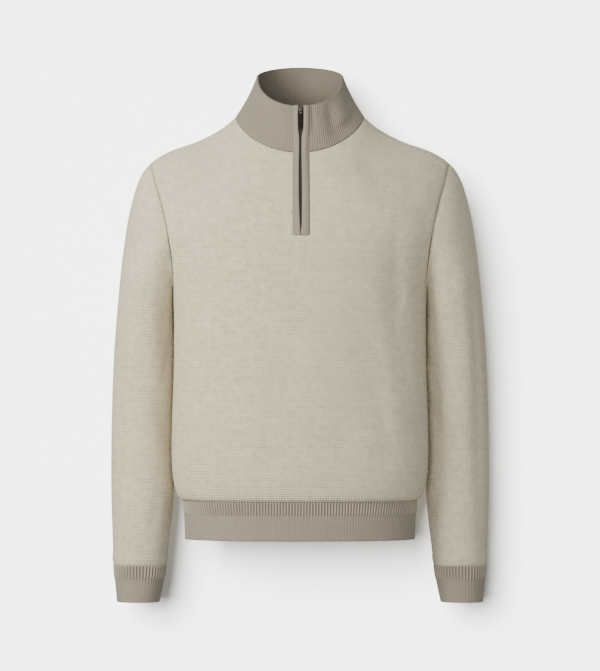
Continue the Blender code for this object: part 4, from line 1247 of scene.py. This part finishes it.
def make_hem(name, node, front):
    """One half of the ribbed hem. Near its sides the ribs lean inwards under the fuller body."""
    turns = np.linspace(-math.pi / 2, math.pi / 2, CURVE_STEPS) * (1 if front else -1)
    columns = RIB_SAMPLES * HEM_RIBS_HALF + 1
    bottom = HEM_BOTTOM + HEM_THICK / 2
    heights = rib_heights(bottom, HEM_TOP, HEM_FINE)
    rows = []
    for z in heights:
        half_width = float(from_table(TORSO, "half_width", z))
        depth = float(from_table(TORSO, "front" if front else "back", z)) - SIDE_Y
        x = half_width * power_cos(turns - math.pi / 2, 2 / BULGE)
        y = SIDE_Y + depth * np.abs(np.cos(turns)) ** (2 / BULGE)
        rows.append(resampled(np.stack([x, y, np.full(len(x), z)], axis=1), columns))
    plain = np.array(rows)
    plain[-1, :, 2] -= SEAM_GAP / 2
    outward = level_directions(plain)
    outward[:, [0, -1], 1] = 0
    down = HEM_TOP - plain[..., 2]
    share = np.linspace(0, 1, columns)[None, :]
    side = (2 * share - 1) * np.ones_like(down)
    lean = RIB_LEAN * np.sign(side) * np.clip((np.abs(side) - 0.3) / 0.4, 0, 1)
    ribs = share * HEM_RIBS_HALF + lean * np.minimum(down, HEM_FINE) / HEM_RIB_PITCH
    ends = np.minimum(from_edge(plain, 1, False), from_edge(plain, 1, True))
    relief = rib_relief(down) * np.clip(ends / 3, 0, 1)
    for end in (False, True):
        pull_edge(plain, 1, end)
    plain = plain - outward * rolled(ends, HEM_ROLL)[..., None]
    skin = folded_band(plain, outward, HEM_THICK, relief, ribs, arc_steps=5, inner_rows=8, bottom=True)
    count = len(skin) + 1
    along_rib = np.concatenate([plain[:, 0, 2], np.linspace(HEM_TOP, HEM_BOTTOM, count - len(plain))])
    rib_number = np.concatenate([ribs, np.repeat(share * HEM_RIBS_HALF, count - len(plain), axis=0)])
    uv = np.stack([rib_number, np.repeat(along_rib[:, None] * MM, columns, axis=1)], axis=2)
    made = cloth_object(name, skin, uv, looks()["hem"], tube=True)
    dress(made, [node])


CUFF_THICK = 2.6
CUFF_FINE = 25.0
CUFF_FIELDS = ("outer_x", "inner_x", "middle_y", "half_depth")
CUFF_RIBS = 52
CUFF_SAMPLES = 8


def make_cuff(name, node, hand):
    """A ribbed cuff, narrowing to the hand."""
    turns = np.linspace(0, 2 * math.pi, CURVE_STEPS)
    out, ahead = oval(turns, SLEEVE_BULGE)
    columns = CUFF_SAMPLES * CUFF_RIBS
    top = CUFF[0].height
    bottom = CUFF[-1].height + CUFF_THICK / 2
    heights = rib_heights(bottom, top, CUFF_FINE)
    rows = []
    for z in heights:
        outer, inner, middle_y, half_depth = (float(from_table(CUFF[::-1], field, z)) for field in CUFF_FIELDS)
        x = hand * (outer + inner) / 2 + (outer - inner) / 2 * out
        y = middle_y + half_depth * ahead
        rows.append(resampled(np.stack([x, y, np.full(len(x), z)], axis=1), columns + 1)[:-1])
    plain = np.array(rows)
    plain[-1, :, 2] -= SEAM_GAP / 2
    outward = level_directions(plain, True)
    down = top - plain[..., 2]
    share = np.arange(columns)[None, :] / columns
    ribs = share * CUFF_RIBS + 0 * down
    relief = rib_relief(down) * 0.9
    skin = folded_band(plain, outward, CUFF_THICK, relief, ribs, arc_steps=5, inner_rows=8, bottom=True)
    count = len(skin) + 1
    along_rib = np.concatenate([plain[:, 0, 2], np.linspace(top, bottom, count - len(plain))])
    across = np.linspace(0, CUFF_RIBS, columns + 1)
    uv = np.stack(np.broadcast_arrays(across[None, :], along_rib[:, None] * MM), axis=2)
    made = cloth_object(name, skin, uv, looks()["cuff"], round_it=True, tube=True)
    dress(made, [node])


COLLAR_SAMPLES = 6
COLLAR_ROWS = 24


def make_collar(name, node):
    """The collar, one ribbed sheet folded double at its rim, with its open ends at the slot."""
    columns = COLLAR_SAMPLES * COLLAR_RIBS + 1
    heights = np.linspace(0, 1 - COLLAR_THICK / 2 / COLLAR_LENGTH, COLLAR_ROWS)
    plain = collar_surface(columns, heights)
    outward = grid_normals(plain)
    outward[:, [0, -1], 0] = 0
    turn = np.degrees(np.arctan2(plain[..., 0], -plain[..., 1]))
    up = heights[:, None] + 0 * turn
    press = np.zeros_like(up)
    for fold in COLLAR_FOLDS:
        aside = (turn - fold.turn + 180) % 360 - 180
        ahead = np.clip((up - fold.low) / (fold.high - fold.low), 0, 1)
        press = press + fold.depth * np.sin(math.pi * ahead) * np.exp(-((aside / fold.width) ** 2))
    down = from_edge(plain, 0, False)
    ends = np.minimum(from_edge(plain, 1, False), from_edge(plain, 1, True))
    relief = bpy.context.scene.sweater_ribs.collar_relief / MM
    relief = relief * np.clip((ends - 1.5) / 3, 0, 1) * np.clip(down / 3, 0.2, 1)
    share = np.linspace(0, 1, columns)[None, :]
    ribs = share * COLLAR_RIBS + 0 * up
    ends_in = np.clip(1 - ends / 6, 0, 1)
    plain = plain - outward * (press * (1 - ends_in) + rolled(down, COLLAR_ROLL))[..., None]
    pull_edge(plain, 0, False)
    outward = grid_normals(plain)
    outward[:, [0, -1], 0] = 0
    outward = outward / np.linalg.norm(outward, axis=2)[..., None]
    skin = folded_band(plain, outward, COLLAR_THICK, relief, ribs, arc_steps=7, inner_rows=14, bottom=False)
    count = len(skin) + 1
    along_rib = np.linspace(0, 2 * COLLAR_LENGTH, count)
    uv = np.stack(np.broadcast_arrays(share * COLLAR_RIBS, along_rib[:, None] * MM), axis=2)
    made = cloth_object(name, skin, uv, looks()["collar"], tube=True)
    dress(made, [node])


# The zip's bands. Each point of a band's section has an anchor, a distance from it, and a rise from
# the sweater's surface. Distances are towards the band's own side.
BandPoint = namedtuple("BandPoint", "anchor aside rise")
FLAT_BAND = (
    BandPoint("outer", 1.2, 0.10),
    BandPoint("outer", 1.1, 0.55),
    BandPoint("outer", 0.4, 0.80),
    BandPoint("outer", -1.2, 1.15),
    BandPoint("middle", 0.0, 1.70),
    BandPoint("inner", 1.3, 2.05),
    BandPoint("inner", 0.3, 1.30),
    BandPoint("inner", 0.0, -0.10),
    BandPoint("inner", 0.1, -1.10),
    BandPoint("inner", 0.9, -1.70),
    BandPoint("middle", 0.0, -1.85),
    BandPoint("outer", -0.6, -1.85),
    BandPoint("outer", -0.4, -0.50),
    BandPoint("outer", -0.3, 0.04),
    BandPoint("outer", 0.8, 0.03),
)
ROUND_BAND = (
    BandPoint("outer", 1.0, 0.08),
    BandPoint("outer", 0.8, 0.40),
    BandPoint("tube", 0.3, 0.30),
    BandPoint("tube", 0.1, 1.00),
    BandPoint("tube", -1.2, 2.10),
    BandPoint("middle", 0.2, 3.10),
    BandPoint("inner", 1.6, 3.20),
    BandPoint("inner", 0.4, 2.10),
    BandPoint("inner", 0.0, 0.30),
    BandPoint("inner", 0.1, -0.90),
    BandPoint("inner", 1.0, -1.75),
    BandPoint("middle", 0.0, -1.85),
    BandPoint("outer", -0.6, -1.85),
    BandPoint("outer", -0.4, -0.50),
    BandPoint("outer", -0.3, 0.04),
    BandPoint("outer", 0.6, 0.03),
)
Tube = namedtuple("Tube", "height edge")
TUBE_EDGE = (
    Tube(-190.0, 14.8),
    Tube(-130.0, 14.8),
    Tube(-100.0, 14.4),
    Tube(-76.0, 13.5),
    Tube(-55.0, 12.4),
    Tube(-35.0, 12.8),
    Tube(-14.0, 14.4),
    Tube(21.0, 14.6),
)
BAND_TOP = 20.0
BAND_BOTTOM = -188.4
BAND_ROUND = 3.2  # the radius of its corners
BAND_ROWS = 140
BAND_RIB = 1.7  # the pitch of its ribs
BAND_GIRTH = 26.0  # round its section
BAND_END = 1.5  # the length in which its ends flatten
BAND_FOOT = 0.2  # the rise that its ends keep


def make_band(name, node, section, hand):
    """A band from the rim to below the slot, with rounded ends."""
    even = np.linspace(BAND_BOTTOM, BAND_TOP, BAND_ROWS)
    closer = np.array([0.3, 0.8])
    heights = np.sort(np.concatenate([even, BAND_BOTTOM + closer, BAND_TOP - closer]))
    near_end = np.minimum(heights - BAND_BOTTOM, BAND_TOP - heights)
    past = np.clip(BAND_ROUND - near_end, 0, None)
    inset = BAND_ROUND - np.sqrt(np.clip(BAND_ROUND**2 - past**2, 0, None))
    outer = np.full(len(heights), SLOT_RIGHT if hand > 0 else SLOT_LEFT)
    inner = from_table(OPENING, "right" if hand > 0 else "left", heights)
    tube = from_table(TUBE_EDGE, "edge", heights)
    middle = (outer + inner) / 2
    anchors = {"outer": outer - hand * inset, "inner": inner, "tube": tube - inset, "middle": middle}
    low = np.clip(near_end / BAND_END, 0, 1) ** 0.5
    rows = []
    for point in section:
        x = anchors[point.anchor] + hand * point.aside
        rise = np.where(point.rise > BAND_FOOT, BAND_FOOT + (point.rise - BAND_FOOT) * low, point.rise)
        y = front_line_y(np.clip(x, SLOT_LEFT - 2, SLOT_RIGHT + 2), heights) - rise
        rows.append(np.stack([x, y, heights], axis=1))
    grid = np.stack(rows, axis=1)
    if hand < 0:
        grid = grid[:, ::-1]
    around = np.linspace(0, BAND_GIRTH / BAND_RIB, grid.shape[1] + 1)
    uv = np.stack(np.broadcast_arrays(around[None, :], heights[:, None] * MM), axis=2)
    made = cloth_object(name, grid, uv, looks()["band"], round_it=True)
    close_ends(made)
    smoother = made.modifiers.new("finer", "SUBSURF")
    smoother.levels = smoother.render_levels = 1
    dress(made, [node])


def close_ends(made):
    """Fills a tube's ends and turns its faces out."""
    form = bmesh.new()
    form.from_mesh(made.data)
    bmesh.ops.holes_fill(form, edges=[edge for edge in form.edges if edge.is_boundary], sides=0)
    bmesh.ops.recalc_face_normals(form, faces=form.faces)
    form.to_mesh(made.data)
    form.free()


TAPE_FRONT = 2.4  # how far behind the sweater's front it lies
TAPE_THICK = 0.9
TAPE_TOP = 14.0
TAPE_BOTTOM = -184.0
TAPE_ROWS = 100
TAPE_COLUMNS = 8


def make_tape(name, node, left, right):
    """A zip tape behind the bands, between two x in millimetres."""
    heights = np.linspace(TAPE_BOTTOM, TAPE_TOP, TAPE_ROWS)
    x = np.broadcast_to(np.linspace(left, right, TAPE_COLUMNS), (TAPE_ROWS, TAPE_COLUMNS))
    z = np.broadcast_to(heights[:, None], (TAPE_ROWS, TAPE_COLUMNS))
    points = np.stack([x, front_line_y(x, z) + TAPE_FRONT, z], axis=2)
    uv = np.stack([x, z], axis=2) * MM
    made = cloth_object(name, points, uv, looks()["tape"])
    thicken(made, TAPE_THICK)
    dress(made, [node])


def solid_object(name, form, look):
    """An object from a finished form, with its flat faces kept flat."""
    mesh = bpy.data.meshes.new(name)
    form.to_mesh(mesh)
    form.free()
    mesh.shade_smooth()
    mesh.set_sharp_from_angle(angle=math.radians(40))
    mesh.materials.append(look)
    made = bpy.data.objects.new(name, mesh)
    bpy.context.scene.collection.objects.link(made)
    return made


def box(form, low, high):
    """A box between two corners in millimetres. It returns its vertices."""
    middle = [(a + b) / 2 * MM for a, b in zip(low, high)]
    size = [(b - a) * MM for a, b in zip(low, high)]
    place = Matrix.Translation(middle) @ Matrix.Diagonal((*size, 1))
    return bmesh.ops.create_cube(form, size=1.0, matrix=place)["verts"]


def bevel(form, edges, width, segments=2):
    """Rounds edges by a width in millimetres."""
    bmesh.ops.bevel(
        form, geom=edges, offset=width * MM, segments=segments, profile=0.5, affect="EDGES", material=-1
    )


TOOTH_TOP = 8.0
TOOTH_BOTTOM = -183.0
TOOTH_TIP = 0.55  # past the zip's middle
TOOTH_ROOT = 2.2
TOOTH_FRONT = 1.95
TOOTH_BACK = 2.6
TOOTH_HALF = 0.32


def make_teeth(name, side):
    """One side's zip teeth, as one mesh. The two sides stand between each other."""
    pitch = bpy.context.scene.sweater_zip.tooth_pitch / MM
    form = bmesh.new()
    count = int((TOOTH_TOP - TOOTH_BOTTOM) / pitch)
    for number in range(count):
        z = TOOTH_BOTTOM + pitch * (number + (0.5 if side > 0 else 0.0))
        ends = sorted((ZIP_X - side * TOOTH_TIP, ZIP_X + side * TOOTH_ROOT))
        y = float(front_line_y(np.array(ZIP_X), np.array(z)))
        box(form, (ends[0], y + TOOTH_FRONT, z - TOOTH_HALF), (ends[1], y + TOOTH_BACK, z + TOOTH_HALF))
    bevel(form, list(form.edges), 0.12, 1)
    made = solid_object(name, form, looks()["coil"])
    dress(made, [])


def slider_frame():
    """The slider's own frame in millimetres, as in its solid."""
    heights = np.array([-19.0, 12.0, float(rim_point(0.0)[2])])
    low, middle, high = front_line_y(np.full(3, ZIP_X), heights)
    tilt = -math.atan2(high - low, heights[2] - heights[0])
    place = Matrix.Translation((ZIP_X * MM, middle * MM, heights[1] * MM))
    return place @ Matrix.Rotation(tilt, 4, "X")


# Places and sizes in the slider's frame, in millimetres, as in its solid
SLIDER_PLATES = ((-1.6, -0.5), (0.7, 1.8))
SLIDER_SIDE = 3.4
SLIDER_END = 5.4
SLIDER_NARROW = 0.74
SLIDER_CORNER = 1.2
ARCH_Y = -1.2
ARCH_RADIUS = 3.45
ARCH_WIDTH = 2.0
ARCH_THICK = 1.3
ARCH_STEPS = 16
TAB_Y = -2.7
TAB_SIDE = 2.4
TAB_HALF = 0.55
TAB_TOP = 0.6
TAB_END = -31.0
TAB_CUTS = (-7.6, -10.5)


def front_to_back(edges):
    """The edges that run from front to back."""
    return [e for e in edges if abs(e.verts[0].co.y - e.verts[1].co.y) > 0.5 * MM]


def make_slider():
    """The slider: a body that narrows downwards, with flanges, and an arched bridge for the tab."""
    form = bmesh.new()
    for low, high in SLIDER_PLATES:
        plate = box(form, (-SLIDER_SIDE, low, -SLIDER_END), (SLIDER_SIDE, high, SLIDER_END))
        for vertex in plate:
            if vertex.co.z < 0:
                vertex.co.x *= SLIDER_NARROW
        edges = list({edge for vertex in plate for edge in vertex.link_edges})
        bevel(form, front_to_back(edges), SLIDER_CORNER, 4)
    box(form, (-0.7, -0.6, 0.4), (0.7, 0.8, 5.0))
    bevel(form, [e for e in form.edges if e.calc_face_angle(0) > 1.0], 0.22, 2)
    # the arch, turned from a small square round a line across the slider
    arch = bmesh.ops.create_grid(form, x_segments=1, y_segments=1, size=0.5)["verts"]
    for vertex in arch:
        out = ARCH_RADIUS + vertex.co.y * ARCH_THICK
        vertex.co = Vector((vertex.co.x * ARCH_WIDTH * MM, ARCH_Y * MM, out * MM))
    start = list({edge for vertex in arch for edge in vertex.link_edges})
    faces = list({face for vertex in arch for face in vertex.link_faces})
    bmesh.ops.spin(
        form,
        geom=start + faces + arch,
        cent=(0, ARCH_Y * MM, 0),
        axis=(1, 0, 0),
        angle=math.pi,
        steps=ARCH_STEPS,
        use_duplicate=False,
    )
    bmesh.ops.recalc_face_normals(form, faces=form.faces)
    form.transform(slider_frame())
    made = solid_object("slider_body", form, looks()["slider"])
    dress(made, ["zip_slider"])


def make_tab():
    """The pull tab, with a window that goes round the bridge and a hollow grip."""
    form = bmesh.new()
    box(form, (-TAB_SIDE, -TAB_HALF, TAB_END), (TAB_SIDE, TAB_HALF, TAB_TOP))
    for z in TAB_CUTS:
        everything = form.verts[:] + form.edges[:] + form.faces[:]
        bmesh.ops.bisect_plane(form, geom=everything, plane_co=(0, 0, z * MM), plane_no=(0, 0, 1))
    lower = [e for e in front_to_back(form.edges) if max(abs(v.co.z) for v in e.verts) > 25 * MM]
    bevel(form, lower, 1.7, 5)
    upper = [e for e in front_to_back(form.edges) if e.verts[0].co.z > 0.5 * MM]
    bevel(form, upper, 0.5, 2)

    def flat_faces(low, high):
        """The front and back faces between two heights."""
        flat = [f for f in form.faces if abs(f.normal.y) > 0.9]
        return [f for f in flat if low * MM < f.calc_center_median().z < high * MM]

    window = flat_faces(-7.0, TAB_TOP - 0.1)
    bmesh.ops.inset_individual(form, faces=window, thickness=1.0 * MM, use_even_offset=True)
    rims = [list(f.edges) for f in window]
    bmesh.ops.delete(form, geom=window, context="FACES_ONLY")
    bmesh.ops.bridge_loops(form, edges=rims[0] + rims[1])
    grip = flat_faces(TAB_END, TAB_CUTS[1] - 0.1)
    bmesh.ops.inset_individual(form, faces=grip, thickness=0.75 * MM, depth=0, use_even_offset=True)
    bmesh.ops.inset_individual(form, faces=grip, thickness=0.15 * MM, depth=-0.18 * MM, use_even_offset=True)
    bmesh.ops.recalc_face_normals(form, faces=form.faces)
    bevel(form, [e for e in form.edges if e.calc_face_angle(0) > 1.2], 0.14, 2)
    form.transform(slider_frame() @ Matrix.Translation((0, TAB_Y * MM, 0)))
    made = solid_object("pull_tab", form, looks()["tab"])
    dress(made, ["zip_pull"], body="pull_tab")


# Operators


class SWEATER_OT_panels(bpy.types.Operator):
    """Makes the front and back panels"""

    bl_idname = "sweater.panels"
    bl_label = "Panels"

    def execute(self, context):
        make_panel("front_knit", "front_panel", True)
        make_panel("back_knit", "back_panel", False)
        return {"FINISHED"}


class SWEATER_OT_sleeves(bpy.types.Operator):
    """Makes the two sleeves"""

    bl_idname = "sweater.sleeves"
    bl_label = "Sleeves"

    def execute(self, context):
        make_sleeve("sleeve_knit_left", "sleeve_left", 1, LEFT_SLEEVE_FOLDS + LEFT_SLEEVE_CREASES)
        make_sleeve("sleeve_knit_right", "sleeve_right", -1, RIGHT_SLEEVE_FOLDS + RIGHT_SLEEVE_CREASES)
        return {"FINISHED"}


class SWEATER_OT_collar(bpy.types.Operator):
    """Makes the ribbed collar"""

    bl_idname = "sweater.collar"
    bl_label = "Collar"

    def execute(self, context):
        make_collar("collar_rib", "collar")
        return {"FINISHED"}


class SWEATER_OT_hem_and_cuffs(bpy.types.Operator):
    """Makes the ribbed hem and cuffs"""

    bl_idname = "sweater.hem_and_cuffs"
    bl_label = "Hem and cuffs"

    def execute(self, context):
        make_hem("hem_rib_front", "hem_front", True)
        make_hem("hem_rib_back", "hem_back", False)
        make_cuff("cuff_rib_left", "cuff_left", 1)
        make_cuff("cuff_rib_right", "cuff_right", -1)
        return {"FINISHED"}


class SWEATER_OT_zip(bpy.types.Operator):
    """Makes the zip's bands, tapes, teeth, slider and tab"""

    bl_idname = "sweater.zip"
    bl_label = "Zip"

    def execute(self, context):
        make_band("band_knit_right", "band_right", FLAT_BAND, -1)
        make_band("band_knit_left", "band_left", ROUND_BAND, 1)
        make_tape("tape_right", "zip_tape_right", SLOT_LEFT + SEAM_GAP, ZIP_X - SEAM_GAP / 2)
        make_tape("tape_left", "zip_tape_left", ZIP_X + SEAM_GAP / 2, SLOT_RIGHT - SEAM_GAP)
        make_teeth("teeth_right", -1)
        make_teeth("teeth_left", 1)
        make_slider()
        make_tab()
        return {"FINISHED"}


# The stage, in metres. VIEW_HEIGHT is what the camera sees from top to bottom at the sweater's middle.
CAMERA_DISTANCE = 7.0
CAMERA_HEIGHT = -0.3456
VIEW_HEIGHT = 1.0736
SENSOR = 36.0
WALL_Y = 0.125
FLOOR_Z = -1.35
STAGE_SIZE = 30.0
KEY_PLACE = (-1.3, -1.25, 0.35)
KEY_AIM = (0, 0, -0.3)
KEY_COLOR = (1.0, 0.955, 0.87)
SKY_COLOR = (0.865, 0.862, 0.85, 1)

# Broad distant lights: where each comes from, counted from the camera towards +X and upwards, how wide
# it is, the setting with its strength, and whether it leaves out the floor and backdrop or lights only them.
Sun = namedtuple("Sun", "name azimuth elevation width strength state")
SUNS = (
    Sun("fill_light", -4, 4, 40, "fill", "EXCLUDE"),
    Sun("rear_light", 180, 30, 50, "rear", "EXCLUDE"),
    Sun("backdrop_light", -17, 12.5, 30, "backdrop", "INCLUDE"),
)


def one_sided(name, color):
    """A pale matte ground that shows on its own side only, so that it hides the sweater from nowhere."""
    nodes = Nodes(name, 0.95, specular=0.0)
    mottle = nodes.noise(nodes.place(), 3.0, 2.0)
    nodes.set("Base Color", nodes.mix(mottle, shade(color, 0.995), shade(color, 1.005)))
    tree = nodes.tree
    clear = tree.nodes.new("ShaderNodeBsdfTransparent")
    share = nodes.add("ShaderNodeNewGeometry", output=6)
    ray = nodes.add("ShaderNodeLightPath", output=0)
    blend = tree.nodes.new("ShaderNodeMixShader")
    nodes.put(blend.inputs[0], (1.0 - share) * ray)
    tree.links.new(clear.outputs[0], blend.inputs[1])
    tree.links.new(nodes.shader.outputs[0], blend.inputs[2])
    tree.links.new(blend.outputs[0], tree.nodes["Material Output"].inputs[0])
    return nodes.material


def ground(name, place, look):
    """A large square of the stage."""
    form = bmesh.new()
    bmesh.ops.create_grid(form, x_segments=1, y_segments=1, size=STAGE_SIZE / 2, matrix=place)
    made = solid_object(name, form, look)
    return made


def lamp_object(lamp, place, grounds, state):
    """Adds a light that leaves out the grounds, or lights only them."""
    made = bpy.data.objects.new(lamp.name, lamp)
    made.matrix_world = place
    bpy.context.scene.collection.objects.link(made)
    reach = bpy.data.collections.new(lamp.name + "_reach")
    for one in grounds:
        reach.objects.link(one)
    for entry in reach.collection_objects:
        entry.light_linking.link_state = state
    made.light_linking.receiver_collection = reach


def distant_light(row, strength, grounds):
    """A broad distant light, from its row."""
    lamp = bpy.data.lights.new(row.name, "SUN")
    lamp.angle = math.radians(row.width)
    lamp.energy = strength
    a, e = math.radians(row.azimuth), math.radians(row.elevation)
    towards = Vector((math.sin(a) * math.cos(e), -math.cos(a) * math.cos(e), math.sin(e)))
    lamp_object(lamp, towards.to_track_quat("Z", "Y").to_matrix().to_4x4(), grounds, row.state)


class SWEATER_OT_stage(bpy.types.Operator):
    """Makes the floor, backdrop, lights and camera"""

    bl_idname = "sweater.stage"
    bl_label = "Stage"

    def execute(self, context):
        studio = context.scene.sweater_studio
        pale = one_sided("pale_ground", studio.ground)
        upright = Matrix.Rotation(math.radians(90), 4, "X")
        grounds = (
            ground("floor", Matrix.Translation((0, 0, FLOOR_Z)), pale),
            ground("backdrop", Matrix.Translation((0, WALL_Y, 0)) @ upright, pale),
        )
        key = bpy.data.lights.new("key_light", "AREA")
        key.shape = "DISK"
        key.size = 1.0
        key.energy = studio.key
        key.color = KEY_COLOR
        towards = Vector(KEY_PLACE) - Vector(KEY_AIM)
        turn = towards.to_track_quat("Z", "Y").to_matrix().to_4x4()
        lamp_object(key, Matrix.Translation(KEY_PLACE) @ turn, grounds, "EXCLUDE")
        for row in SUNS:
            distant_light(row, getattr(studio, row.strength), grounds)
        world = bpy.data.worlds.new("studio")
        world.use_nodes = True
        background = world.node_tree.nodes["Background"]
        background.inputs[0].default_value = SKY_COLOR
        background.inputs[1].default_value = studio.sky
        context.scene.world = world
        lens = bpy.data.cameras.new("camera")
        lens.sensor_width = SENSOR
        lens.lens = SENSOR * CAMERA_DISTANCE / VIEW_HEIGHT
        camera = bpy.data.objects.new("camera", lens)
        camera.location = (0, -CAMERA_DISTANCE, CAMERA_HEIGHT)
        camera.rotation_euler = (math.radians(90), 0, 0)
        context.scene.collection.objects.link(camera)
        context.scene.camera = camera
        return {"FINISHED"}


OPERATORS = (
    SWEATER_OT_panels,
    SWEATER_OT_sleeves,
    SWEATER_OT_collar,
    SWEATER_OT_hem_and_cuffs,
    SWEATER_OT_zip,
    SWEATER_OT_stage,
)
GROUPS = {
    "sweater_cloth": SweaterCloth,
    "sweater_ribs": SweaterRibs,
    "sweater_zip": SweaterZip,
    "sweater_studio": SweaterStudio,
}


class SWEATER_PT_panel(bpy.types.Panel):
    """The sweater's settings and makers"""

    bl_idname = "SWEATER_PT_panel"
    bl_label = "Quarter-zip sweater"
    bl_space_type = "VIEW_3D"
    bl_region_type = "UI"
    bl_category = "Sweater"

    def draw(self, context):
        for name, group in GROUPS.items():
            part = self.layout.box()
            for setting in group.__annotations__:
                part.prop(getattr(context.scene, name), setting)
        for operator in OPERATORS:
            self.layout.operator(operator.bl_idname)


def register():
    for group in GROUPS.values():
        bpy.utils.register_class(group)
    for name, group in GROUPS.items():
        setattr(bpy.types.Scene, name, bpy.props.PointerProperty(type=group))
    for operator in OPERATORS:
        bpy.utils.register_class(operator)
    bpy.utils.register_class(SWEATER_PT_panel)


def unregister():
    bpy.utils.unregister_class(SWEATER_PT_panel)
    for operator in reversed(OPERATORS):
        bpy.utils.unregister_class(operator)
    for name, group in GROUPS.items():
        delattr(bpy.types.Scene, name)
        bpy.utils.unregister_class(group)


def main():
    register()
    bpy.ops.sweater.panels()
    bpy.ops.sweater.sleeves()
    bpy.ops.sweater.collar()
    bpy.ops.sweater.hem_and_cuffs()
    bpy.ops.sweater.zip()
    bpy.ops.sweater.stage()


if __name__ == "__main__":
    main()
